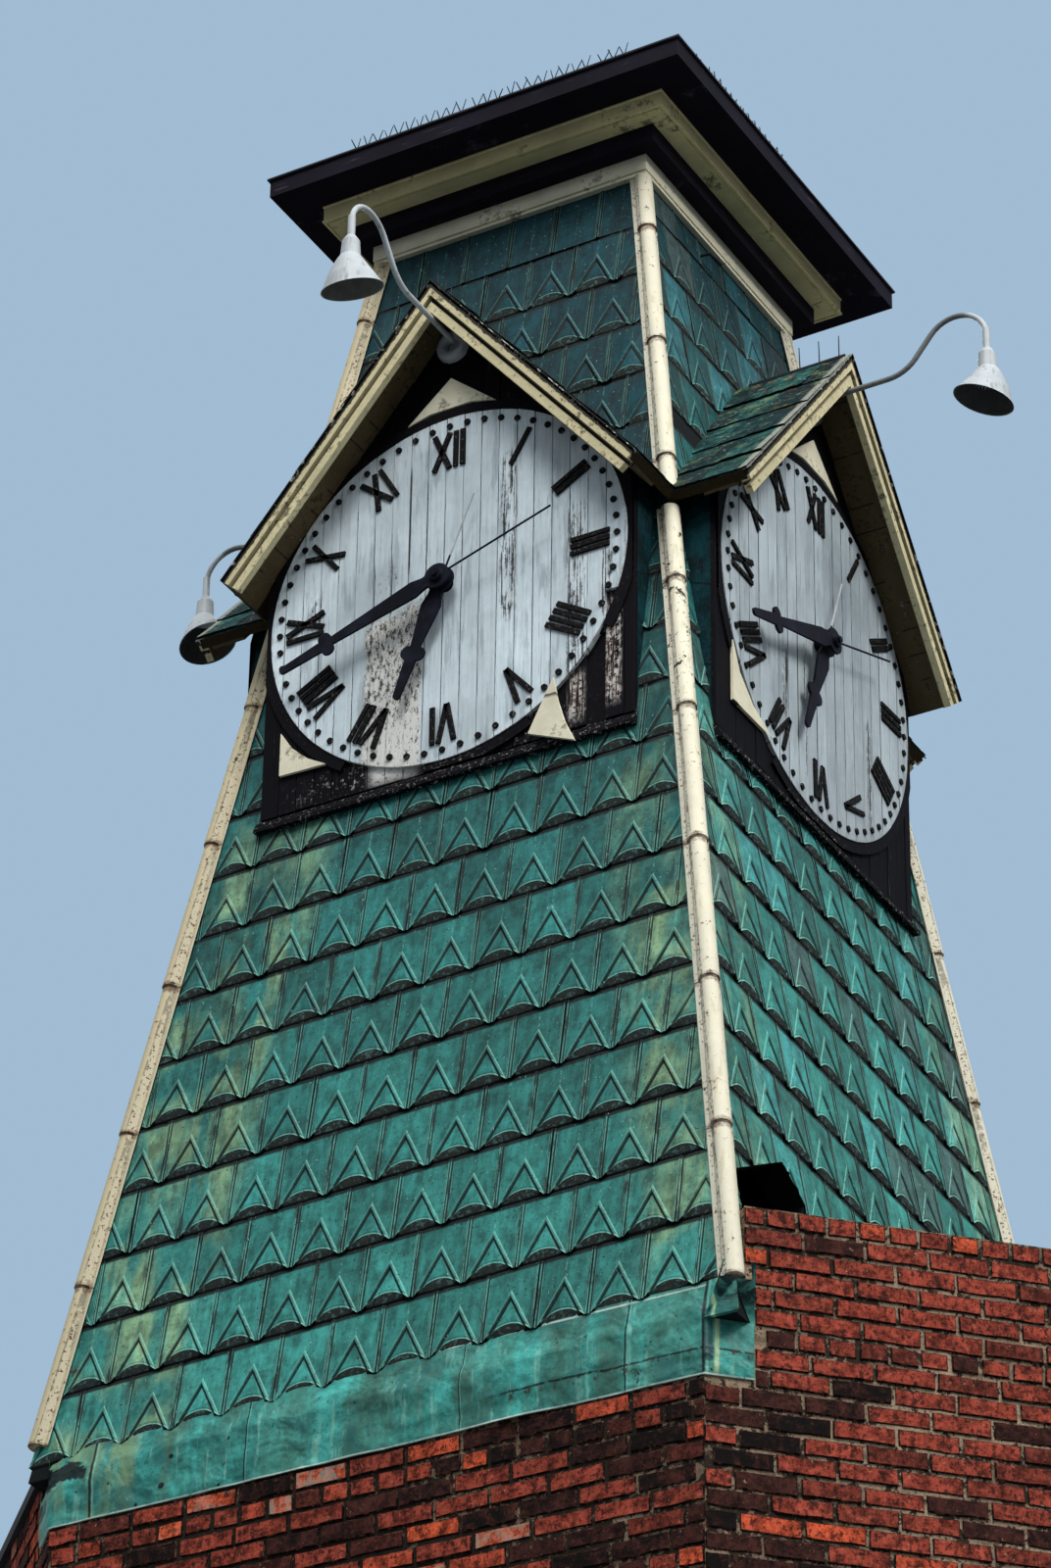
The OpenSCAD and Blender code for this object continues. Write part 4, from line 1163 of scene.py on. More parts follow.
def wall_frame():
    """Right, up the slope and out of the front battered wall, from its foot."""
    sizes = settings("wall")
    lean = math.atan((sizes.foot_half - sizes.top_half) / (WALL_TOP_Z - SKIRT_Z))
    up = (0, math.sin(lean), math.cos(lean))
    out = (0, -math.cos(lean), math.sin(lean))
    return columns((1, 0, 0), up, out, (0, -sizes.foot_half, SKIRT_Z)), lean


def wall_half(z):
    """Half width of the battered walls at a height."""
    sizes = settings("wall")
    return sizes.foot_half - (sizes.foot_half - sizes.top_half) * (z - SKIRT_Z) / (WALL_TOP_Z - SKIRT_Z)


def cut(bm, point, normal, drop_outer=False, drop_inner=False):
    """Cuts a mesh along a plane and may drop what is on one side of it."""
    return bmesh.ops.bisect_plane(
        bm,
        geom=bm.verts[:] + bm.edges[:] + bm.faces[:],
        plane_co=point,
        plane_no=normal,
        clear_outer=drop_outer,
        clear_inner=drop_inner,
    )


def slice_off(bm, point, normal):
    """Drops what is beyond a plane and closes the solid there."""
    made = cut(bm, point, normal, drop_outer=True)
    edges = [e for e in made["geom_cut"] if isinstance(e, bmesh.types.BMEdge)]
    if edges:
        bmesh.ops.contextual_create(bm, geom=edges)


def thicken(bm, depth):
    """Makes a mesh's one flat face into a solid, towards +Z."""
    made = bmesh.ops.extrude_face_region(bm, geom=bm.faces[:])["geom"]
    moved = [g for g in made if isinstance(g, bmesh.types.BMVert)]
    bmesh.ops.translate(bm, vec=(0, 0, depth), verts=moved)
    bmesh.ops.recalc_face_normals(bm, faces=bm.faces)


def carve(bm, planes):
    """What is left of a mesh outside a convex hole, given by its planes' points and outward normals."""
    left = []
    for point, normal in planes:
        outside = bm.copy()
        cut(outside, point, normal, drop_inner=True)
        if outside.faces:
            left.append(outside)
        else:
            outside.free()
        cut(bm, point, normal, drop_outer=True)
        if not bm.faces:
            break
    bm.free()
    return left


def poured(bm, name="form"):
    """Turns a bmesh into mesh data and frees it."""
    mesh = bpy.data.meshes.new(name)
    bm.to_mesh(mesh)
    bm.free()
    return mesh


def stamp(bm, form, place, tone=None):
    """Adds a copy of a form to a mesh, at its place, its faces marked with a tone."""
    copy = form.copy()
    copy.transform(place)
    if tone is not None:
        copy.attributes["tone"].data.foreach_set("value", [tone] * len(copy.polygons))
    bm.from_mesh(copy)
    bpy.data.meshes.remove(copy)


def join_in(bm, part, place=None, tone=None):
    """Moves a part that was shaped on its own into a mesh."""
    form = poured(part)
    stamp(bm, form, place or Matrix.Identity(4), tone)
    bpy.data.meshes.remove(form)


def map_flat(bm):
    """Maps a flat piece's faces by their places across and up."""
    layer = bm.loops.layers.uv.new("face")
    for face in bm.faces:
        for loop in face.loops:
            loop[layer].uv = loop.vert.co.xy


def seeded(kind, step=0):
    """Random numbers of a kind of piece, the same in every run."""
    return random.Random(SEEDS[kind] + step)


def empty_mesh():
    """A mesh whose faces can carry a tone."""
    bm = bmesh.new()
    bm.faces.layers.float.new("tone")
    return bm


def block(bm, low, high, bevel=0.0, segments=1):
    """Adds a box from one corner to the other, its edges taken off."""
    low, high = Vector(low), Vector(high)
    made = bmesh.ops.create_cube(bm, size=1.0)
    verts = made["verts"]
    bmesh.ops.scale(bm, vec=high - low, verts=verts)
    bmesh.ops.translate(bm, vec=(low + high) / 2, verts=verts)
    if bevel:
        edges = list({e for v in verts for e in v.link_edges})
        bmesh.ops.bevel(
            bm, geom=edges, offset=bevel, segments=segments, profile=0.5, affect="EDGES", material=-1
        )


def rod(bm, start, end, radius, sides=6, end_radius=None):
    """Adds a round bar between two points."""
    start, end = Vector(start), Vector(end)
    axis = end - start
    made = bmesh.ops.create_cone(
        bm,
        cap_ends=True,
        segments=sides,
        radius1=radius,
        radius2=radius if end_radius is None else end_radius,
        depth=axis.length,
    )
    place = Matrix.Translation((start + end) / 2) @ axis.to_track_quat("Z", "Y").to_matrix().to_4x4()
    bmesh.ops.transform(bm, matrix=place, verts=made["verts"])


def crisp(mesh, angle):
    """Smooth shading that breaks at edges sharper than an angle."""
    bm = bmesh.new()
    bm.from_mesh(mesh)
    for face in bm.faces:
        face.smooth = True
    for edge in bm.edges:
        edge.smooth = len(edge.link_faces) == 2 and edge.calc_face_angle() < angle
    bm.to_mesh(mesh)
    bm.free()


def piece(name, bm, materials, replaces=(), body="tower", smooth=None):
    """Makes a mesh into a finished piece of the tower."""
    mesh = poured(bm, name)
    for finish in materials:
        mesh.materials.append(finish)
    if smooth is not None:
        crisp(mesh, smooth)
    obj = bpy.data.objects.new(name, mesh)
    bpy.context.scene.collection.objects.link(obj)
    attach(obj, body)
    if replaces:
        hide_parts(*replaces)
    return obj


def coat(node, finish):
    """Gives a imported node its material."""
    mesh = frame["nodes"][node].data
    mesh.materials.clear()
    mesh.materials.append(finish)


def brick_form(face_length, seed):
    """A brick's face with a worn outline; its back is in the mortar and left open."""
    sizes = settings("brick")
    pick = seeded("brick_forms", seed)
    bm = empty_mesh()
    half = face_length / 2
    tall = (sizes.course - sizes.joint) / 2
    steps = 4 if face_length > sizes.header else 2
    back, rim, face_rim = [], [], []
    for i in range(2 * steps + 2):
        top = i > steps
        x = -half + 2 * half * (2 * steps + 1 - i if top else i) / steps
        y = tall if top else -tall
        wear = pick.uniform(0, sizes.chipped)
        back.append(bm.verts.new((x - math.copysign(wear, x), y - math.copysign(wear, y), -sizes.sunk)))
    for vert in back:
        rim.append(bm.verts.new((vert.co.x, vert.co.y, sizes.proud - sizes.rim_drop)))
    for vert in rim:
        x, y, _ = vert.co
        inset = sizes.rim if abs(x) > half - 0.008 else 0.0
        z = sizes.proud + pick.uniform(-0.0008, 0.0008)
        face_rim.append(bm.verts.new((x - math.copysign(inset, x), y - math.copysign(sizes.rim, y), z)))
    count = len(back)
    for low, high in ((back, rim), (rim, face_rim)):
        for i in range(count):
            j = (i + 1) % count
            bm.faces.new((low[i], low[j], high[j], high[i])).material_index = 1
    for i in range(steps):
        bm.faces.new((face_rim[i], face_rim[i + 1], face_rim[count - 2 - i], face_rim[count - 1 - i]))
    bmesh.ops.recalc_face_normals(bm, faces=bm.faces)
    if sum(face.normal.z for face in bm.faces) < 0:
        bmesh.ops.reverse_faces(bm, faces=bm.faces)
    return poured(bm)


def plain_brick(face_length):
    """A brick's face with its edges taken off, for the walls that are seldom seen."""
    sizes = settings("brick")
    bm = empty_mesh()
    half = face_length / 2
    tall = (sizes.course - sizes.joint) / 2
    block(bm, (-half, -tall, -sizes.sunk), (half, tall, sizes.proud))
    bm.faces.ensure_lookup_table()
    back = [face for face in bm.faces if face.calc_center_median().z < -0.003]
    bmesh.ops.delete(bm, geom=back, context="FACES_ONLY")
    rim = [e for e in bm.edges if all(v.co.z > 0 for v in e.verts)]
    bmesh.ops.bevel(bm, geom=rim, offset=sizes.rim_drop, segments=1, profile=0.5, affect="EDGES", material=-1)
    for face in bm.faces:
        if face.normal.z < 0.9:
            face.material_index = 1
    return poured(bm)


def brick_tone(wall, along, z, pick):
    """A brick's tone: dark to bright from 0 to 1, down to -1 where sooty and up to 2 where limed."""
    tone = min(max(pick.gauss(0.40, 0.14), 0.17), 0.72)
    below = SKIRT_Z - z
    chance = pick.random()
    if wall == "right_street":
        near = along / 0.42 + noise.noise(Vector((along * 3, z * 3, 2.0))) * 0.9
        if below > -0.05 and near < 1.0 and chance < 0.62 - below * 0.10:
            return pick.uniform(-1.0, -0.35)
        if chance > (0.90 if below > 0.45 else 0.985):
            return pick.uniform(0.76, 0.92)
        if chance > 0.88:
            return pick.uniform(-0.5, 0.12)
        return tone
    if wall in ("front", "left_street"):
        cloud = noise.noise(Vector((along * 1.6, z * 2.2, 5.0)))
        if chance < 0.22 + cloud * 0.45:
            return pick.uniform(-0.9, -0.2)
        if chance < 0.38 + cloud * 0.2:
            return pick.uniform(1.1, 2.0)
        if chance > 0.86:
            return pick.uniform(0.76, 0.92)
        if chance > 0.78:
            return pick.uniform(0.0, 0.14)
    return tone


def first_brick(name, z):
    """How far from its start a wall's bricks begin at a height."""
    if name == "right_street" and z > SKIRT_Z - 0.02:
        return BESIDE_FLAP if z < FLAP_TOP_Z else OVER_FLAP
    return 0.0


def brick_wall(name, start, end, top, seed):
    """Lays a wall's face: bonded courses between two corners, up to its top."""
    sizes = settings("brick")
    pick = seeded("bricks", seed)
    faces = (sizes.brick_length, sizes.header)
    worn = name in ("front", "right_street", "left_street")
    if worn:
        forms = {face: [brick_form(face, i) for i in range(BRICK_FORMS)] for face in faces}
    else:
        forms = {face: [plain_brick(face) for _ in range(BRICK_FORMS)] for face in faces}
    header_rows = HEADER_ROWS.get(name, EVERY_SEVENTH)
    bm = empty_mesh()
    along = Vector(end) - Vector(start)
    run = along.length
    along.normalize()
    place = columns((along.x, along.y, 0), (0, 0, 1), (along.y, -along.x, 0), (start[0], start[1], 0))
    courses = int(top / sizes.course)
    low = top - courses * sizes.course
    for course in range(courses):
        middle = low + (course + 0.5) * sizes.course
        face = sizes.header if courses - course in header_rows else sizes.brick_length
        pitch = face + sizes.joint
        first = first_brick(name, middle)
        across = -pitch * (0.5 if course % 2 else 1.0) + pick.uniform(-0.025, 0.025)
        while across < run:
            wide = pitch * pick.uniform(0.96, 1.04) if worn else pitch
            left = max(across, first)
            right = min(across + wide - sizes.joint * pick.uniform(0.7, 1.2), run)
            if right - left > 0.03:
                tilt = Matrix.Rotation(pick.gauss(0, 0.008 if worn else 0.004), 4, "Z")
                size = ((right - left) / face, pick.uniform(0.93, 1.04), pick.uniform(0.5, 1.35), 1.0)
                at = Matrix.Translation(((left + right) / 2, middle + pick.gauss(0, 0.0012), 0))
                tone = brick_tone(name, (left + right) / 2, middle, pick)
                stamp(bm, pick.choice(forms[face]), place @ at @ tilt @ Matrix.Diagonal(size), tone)
            across += wide
    for form in (form for four in forms.values() for form in four):
        bpy.data.meshes.remove(form)
    return piece(name + "_bricks", bm, [material(brick_clay), material(brick_rim)])


def tile_form(embossed):
    """One pressed tile, x across, y up its slope and z out: a beaded V over an arched lower edge."""
    sizes = settings("wall")
    bm = empty_mesh()
    layer = bm.loops.layers.uv.new("tile")
    half = sizes.tile_width / 2
    tall = sizes.row + sizes.overlap
    bmesh.ops.create_grid(bm, x_segments=1, y_segments=1, size=1.0)
    bmesh.ops.scale(bm, vec=(half, tall / 2, 1.0), verts=bm.verts)
    bmesh.ops.translate(bm, vec=(0.0, tall / 2, 0.0), verts=bm.verts)
    if embossed:
        for side in (-1, 1):
            for foot, top in (V_OUTER, V_CREST, V_GROOVE):
                cut(bm, (side * foot, 0, 0), (top, side * foot, 0))
            for share in (0.3, 0.58, 0.82):
                cut(bm, (side * share * V_GROOVE[0], 0, 0), (V_GROOVE[1], side * share * V_GROOVE[0], 0))
        cut(bm, (0, 0, 0), (1, 0, 0))
    for side in (-1, 1):
        for line in (SEAM_LINE, SEAM_EDGE):
            cut(bm, (side * line, 0, 0), (1, 0, 0))
    for vert in bm.verts:
        x = vert.co.x
        if embossed and vert.co.y < 0.0001 and abs(x) < V_OUTER[0] - 0.0002:
            apex = V_CREST[1] if abs(abs(x) - V_CREST[0]) < 0.0005 else V_GROOVE[1]
            share = 0.0
            for _ in range(30):
                share = arch_at(x * (1 - share)) / apex
            vert.co.x, vert.co.y = x * (1 - share), apex * share
    for face in bm.faces:
        for loop in face.loops:
            loop[layer].uv = (loop.vert.co.x, loop.vert.co.y if embossed else sizes.row - 0.04)
    for vert in bm.verts:
        x, y = abs(vert.co.x), vert.co.y
        out = sizes.edge_out * (1 - 0.72 * y / tall)
        inside = 1 - y / V_GROOVE[1] - x / V_GROOVE[0]
        if embossed and inside > 0.01:
            out += sizes.lip_out
        if embossed and abs(x / V_CREST[0] + y / V_CREST[1] - 1) < 0.002:
            out += sizes.bead
        if embossed and abs(inside) < 0.002:
            out -= 0.0030
        if x > SEAM_EDGE - 0.0005:
            out += sizes.bead * 0.5
        elif x > SEAM_LINE - 0.0005:
            out -= 0.002
        vert.co.z = out
    rim = [e for e in bm.edges if e.is_boundary and all(v.co.y <= sizes.lip_rise + 0.0001 for v in e.verts)]
    rim = [e for e in rim if abs(e.verts[0].co.x - e.verts[1].co.x) > 0.0001]
    made = bmesh.ops.extrude_edge_only(bm, edges=rim)["geom"]
    lower = {g for g in made if isinstance(g, bmesh.types.BMVert)}
    for vert in lower:
        vert.co.y = -0.0005
        vert.co.z = 0.0012
    for face in (g for g in made if isinstance(g, bmesh.types.BMFace)):
        face.material_index = 1
        for loop in face.loops:
            rise = 0.0 if loop.vert in lower else loop.vert.co.y
            loop[layer].uv = (loop.vert.co.x, RECESS_V + rise)
        face.normal_update()
        if face.normal.y > 0:
            face.normal_flip()
    return poured(bm)


def flattened(bm):
    """Draws the tiles' relief in towards the wall under the hip rolls' edges."""
    frame_of_wall, _ = wall_frame()
    back = frame_of_wall.inverted()
    for vert in bm.verts:
        point = back @ vert.co
        away = wall_half(vert.co.z) - abs(vert.co.x)
        share = min(max((away - 0.045) / 0.07, 0.0), 1.0)
        if share < 1.0 and point.z > 0.004:
            point.z = 0.004 + (point.z - 0.004) * share
            vert.co = frame_of_wall @ point


def row_tilt(side, height):
    """How far a row of tiles rises to the right, for each metre across: most on the lower rows."""
    low = (0.035, -0.055, 0.035, -0.055)[side]
    fade = min(max((height - 2.7) / 1.9, 0.0), 1.0)
    return low * (1 - fade)


def row_seam(side, row):
    """Where a row's seams fall: rows are staggered by half a tile."""
    if side % 2:
        return 0.046 if row % 2 == 0 else 0.140
    return 0.118 if (row + (row >= 8)) % 2 == 0 else 0.012


def house_planes():
    """Planes round the space behind a dial's case: sides, foot and both slopes."""
    half, peak = CASE_HALF - 0.004, (0, 0, GABLE_Z - 0.11)
    return [
        ((0, 0, CASE_FOOT_Z + 0.01), (0, 0, -1)),
        ((half, 0, 0), (1, 0, 0)),
        ((-half, 0, 0), (-1, 0, 0)),
        (peak, (GABLE_PITCH, 0, 1)),
        (peak, (-GABLE_PITCH, 0, 1)),
    ]


def torn_planes():
    """Planes round the torn hole, in the front's frame, with normals pointing out of it."""
    count = len(TORN_HOLE)
    middle = Vector((sum(p[0] for p in TORN_HOLE) / count, sum(p[1] for p in TORN_HOLE) / count))
    planes = []
    for i in range(count):
        a, b = Vector(TORN_HOLE[i]), Vector(TORN_HOLE[(i + 1) % count])
        normal = Vector((b.y - a.y, a.x - b.x))
        if normal.dot(a - middle) < 0:
            normal = -normal
        planes.append(((a.x, 0, SKIRT_Z + a.y), (normal.x, 0, normal.y)))
    return planes


def touches(planes, points, slack=0.03):
    """Whether any of the points lies in a hole or close to it."""
    return any(
        all((point - Vector(at)).dot(Vector(normal).normalized()) < slack for at, normal in planes)
        for point in points
    )


def set_tile(bm, form, place, tone, holes):
    """Sets a tile in its place, with the holes that it reaches into cut out of it."""
    if not holes:
        stamp(bm, form, place, tone)
        return
    parts = [bmesh.new()]
    parts[0].from_mesh(form)
    parts[0].transform(place)
    for planes in holes:
        parts = [left for part in parts for left in carve(part, planes)]
    for part in parts:
        join_in(bm, part, tone=tone)


def mitre(bm):
    """Cuts what is built on the front off at both hips."""
    for way in (1, -1):
        cut(bm, (0, 0, 0), (way, 1, 0), drop_outer=True)


def clad_wall(side):
    """Rows of pressed tiles on one battered wall, mitred at the hips and cut round the case and the hole."""
    sizes = settings("wall")
    pick = seeded("tiles", side)
    pressed, plain = tile_form(True), tile_form(False)
    frame_of_wall, lean = wall_frame()
    slope = 1 / math.cos(lean)
    holes = [house_planes()]
    if side == 1:
        holes.append(torn_planes())
    bm = empty_mesh()
    rows = int((FRIEZE_Z - SKIRT_Z - sizes.first_row) / sizes.row) + 1
    for row in range(-1, rows - 1):
        height = sizes.first_row + (row + 1) * sizes.row
        upper = side % 2 and row >= UPPER_ROW
        if upper:
            height += UPPER_SHIFT
        tilt = row_tilt(side, height)
        reach = wall_half(SKIRT_Z + height) + 0.06
        seam = row_seam(side, row)
        form = plain if height > FRIEZE_Z - SKIRT_Z - 0.3 else pressed
        first = math.floor((-reach - seam) / sizes.tile_width)
        last = math.ceil((reach - seam) / sizes.tile_width)
        for column in range(first, last):
            across = seam + (column + 0.5) * sizes.tile_width
            swell = pick.uniform(0.25, 0.5) if upper else pick.uniform(0.8, 1.12)
            step = pick.uniform(-0.006, 0.006) if upper else 0.0
            lean_out = pick.uniform(-0.0015, 0.0015)
            shape = Matrix(
                (
                    (0.998, pick.gauss(0, 0.006), 0, across),
                    (tilt + pick.gauss(0, 0.004), 1, 0, (height + step + tilt * across) * slope),
                    (0, 0, swell, 0.001 + lean_out),
                    (0, 0, 0, 1),
                )
            )
            place = frame_of_wall @ shape
            tone = pick.random()
            corners = [
                place @ Vector((dx * sizes.tile_width / 2, dy * sizes.row, 0))
                for dx in (-1, 0, 1)
                for dy in (0, 0.5, 1)
            ]
            middle_z = corners[7].z
            by_hip = abs(across) > wall_half(middle_z) - BARE_WIDTH
            if side % 2 and by_hip and middle_z < SKIRT_Z + BARE_HEIGHT:
                continue
            set_tile(bm, form, place, tone, [planes for planes in holes if touches(planes, corners)])
    cut(bm, (0, 0, FRIEZE_Z + 0.012), (0, 0, 1), drop_outer=True)
    mitre(bm)
    flattened(bm)
    bm.transform(turned(side))
    name = SIDES[side] + "_shingles"
    piece(name, bm, [material(shingle_paint), material(lip_shadow)], smooth=0.45)


class TOWER_OT_stage(bpy.types.Operator):
    """Set up the camera, the pale floor, the backdrop and the soft lights"""

    bl_idname = "tower.stage"
    bl_label = "Camera, floor and lights"

    def execute(self, context):
        stage = settings("stage")
        scene = context.scene
        scene.view_settings.view_transform = "Standard"
        camera = bpy.data.objects.new("camera", bpy.data.cameras.new("camera"))
        scene.collection.objects.link(camera)
        at, aim = Vector(stage.camera_at), Vector(stage.camera_aim)
        turn = (aim - at).to_track_quat("-Z", "Y").to_matrix().to_4x4()
        camera.matrix_world = Matrix.Translation(at) @ turn @ Matrix.Rotation(stage.camera_roll, 4, "Z")
        camera.data.lens = stage.lens
        camera.data.sensor_width = 36.0
        camera.data.clip_end = 200.0
        scene.camera = camera

        bm = bmesh.new()
        bmesh.ops.create_circle(bm, cap_ends=True, segments=96, radius=stage.floor_r)
        floor = bpy.data.objects.new("floor", poured(bm, "floor"))
        floor.data.materials.append(material(floor_finish))
        scene.collection.objects.link(floor)

        for name, (place, size, tint) in LIGHTS.items():
            self.light(scene, name, place, size, getattr(stage, name + "_watts"), tint)
        self.backdrop(scene, stage.daylight)
        return {"FINISHED"}

    def light(self, scene, name, at, size, watts, tint):
        """A large square lamp that faces the dials."""
        lamp = bpy.data.lights.new(name, "AREA")
        lamp.size = size
        lamp.energy = watts
        lamp.color = tint
        obj = bpy.data.objects.new(name, lamp)
        obj.location = at
        aim = Vector((0, 0, DIAL_Z)) - Vector(at)
        obj.rotation_euler = aim.to_track_quat("-Z", "Y").to_euler()
        scene.collection.objects.link(obj)

    def backdrop(self, scene, strength):
        """Light from all round, dim from below, behind a flat pale backdrop."""
        world = bpy.data.worlds.new("backdrop")
        scene.world = world
        world.use_nodes = True
        world.node_tree.nodes.clear()
        sky = Nodes(world.node_tree)
        _, _, up = sky.axes(sky.node("TexCoord", {}, {}, "Generated"))
        span = {"Value": up, "From Min": -0.1, "From Max": 0.5, "To Min": 0.15, "To Max": 1.0}
        lit = sky.blend("night", "daylight", sky.node("MapRange", {}, span))
        glow = sky.node("Background", {}, {"Color": lit, "Strength": strength})
        plain = sky.node("Background", {}, {"Color": "sky"})
        seen = sky.node("LightPath", {}, {}, "Is Camera Ray")
        mixed = sky.node("MixShader", {}, {0: seen, 1: glow, 2: plain})
        sky.tree.links.new(mixed.socket, sky.tree.nodes.new("ShaderNodeOutputWorld").inputs[0])


class TOWER_OT_brickwork(bpy.types.Operator):
    """Lay the bricks of the corner building's walls over their mortar"""

    bl_idname = "tower.brickwork"
    bl_label = "Brickwork"

    def execute(self, context):
        corners = [
            (-CORNER_X, -BRICK_FRONT),
            (CORNER_X, -BRICK_FRONT),
            (FAR_X, FAR_Y),
            (REAR_X, REAR_Y),
            (-REAR_X, REAR_Y),
            (-FAR_X, FAR_Y),
        ]
        names = ("front", "right_street", "right_party", "rear", "left_party", "left_street")
        tops = (SKIRT_Z - 0.004, HIGH_WALL_Z, HIGH_WALL_Z, LOW_WALL_Z, LOW_WALL_Z, LOW_WALL_Z)
        for i, name in enumerate(names):
            obj = brick_wall(name, corners[i], corners[(i + 1) % 6], tops[i], i)
            if name == "left_street":
                self.clear_flap(obj)
            node = name + "_brick_wall" if name in ("front", "rear") else name + "_wall"
            coat(node, material(lime_mortar))
        return {"FINISHED"}

    def clear_flap(self, obj):
        """Takes the bricks away that the skirt's left flap hides."""
        bm = bmesh.new()
        bm.from_mesh(obj.data)
        corner = Vector((-CORNER_X, -BRICK_FRONT))
        hidden = []
        for face in bm.faces:
            middle = face.calc_center_median()
            if middle.z > SKIRT_Z - 0.02 and (middle.xy - corner).length < UNDER_FLAP:
                hidden.append(face)
        bmesh.ops.delete(bm, geom=hidden, context="FACES")
        bm.to_mesh(obj.data)
        bm.free()


class TOWER_OT_flat_roof(bpy.types.Operator):
    """Finish the coping and the flat roof deck"""

    bl_idname = "tower.flat_roof"
    bl_label = "Coping and flat roof"

    def execute(self, context):
        coat("parapet_coping", material(dark_metal))
        coat("roof_deck", material(roof_felt))
        return {"FINISHED"}


class TOWER_OT_shingles(bpy.types.Operator):
    """Clad the four battered walls with pressed metal tiles"""

    bl_idname = "tower.shingles"
    bl_label = "Pressed metal shingles"

    def execute(self, context):
        for side, name in enumerate(SIDES):
            clad_wall(side)
            coat(name + "_tower_wall", material(batten_dark))
        return {"FINISHED"}


class TOWER_OT_skirt(bpy.types.Operator):
    """Dent the skirt's sheet and its two corner flaps"""

    bl_idname = "tower.skirt"
    bl_label = "Skirt sheet"

    def execute(self, context):
        low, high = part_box("skirt_flashing")
        bm = bmesh.new()
        bm.from_mesh(frame["nodes"]["skirt_flashing"].data)
        bmesh.ops.remove_doubles(bm, verts=bm.verts, dist=0.00002)
        bmesh.ops.dissolve_limit(bm, angle_limit=0.01, verts=bm.verts, edges=bm.edges)
        steps = int((high.x - low.x) / 0.025)
        for i in range(1, steps):
            cut(bm, (low.x + (high.x - low.x) * i / steps, 0, 0), (1, 0, 0))
        steps = int((high.z - low.z) / 0.016)
        for i in range(1, steps):
            cut(bm, (0, 0, low.z + (high.z - low.z) * i / steps), (0, 0, 1))
        layer = bm.loops.layers.uv.new("sheet")
        diagonal = math.sqrt(0.5)
        runs = {}
        for vert in bm.verts:
            past = max(abs(vert.co.x) - CORNER_X, 0.0)
            runs[vert] = math.copysign(min(abs(vert.co.x), CORNER_X) + past / diagonal, vert.co.x)
        for face in bm.faces:
            for loop in face.loops:
                loop[layer].uv = (runs[loop.vert], loop.vert.co.z - SKIRT_Z)
        for vert in bm.verts:
            out = Vector((0, -1, 0))
            if abs(runs[vert]) > CORNER_X + 0.001:
                out = Vector((math.copysign(diagonal, runs[vert]), -diagonal, 0))
            vert.co += out * dent_at(runs[vert], vert.co.z - SKIRT_Z)
            if runs[vert] < 0:
                self.press_flat(vert, runs[vert], out)
        finish = [material(skirt_paint)]
        piece("skirt_sheet", bm, finish, replaces=("skirt_flashing",), smooth=0.5)
        return {"FINISHED"}

    def press_flat(self, vert, run, out):
        """Presses the left flap against its wall, under the foot of the hip roll."""
        if run < -CORNER_X - 0.001:
            corner = Vector((-CORNER_X, -BRICK_FRONT, vert.co.z))
            vert.co -= out * max((vert.co - corner).dot(out) - 0.012, 0.0)
        share = min(max((-run - CORNER_X + 0.05) / 0.05, 0.0), 1.0)
        vert.co.z -= (vert.co.z - SKIRT_Z) * 0.20 * share


class TOWER_OT_hips(bpy.types.Operator):
    """Paint the rolls that cover the hips"""

    bl_idname = "tower.hips"
    bl_label = "Hip rolls"

    def execute(self, context):
        for name in HIPS:
            coat(name + "_hip_roll", material(cream_metal))
        return {"FINISHED"}


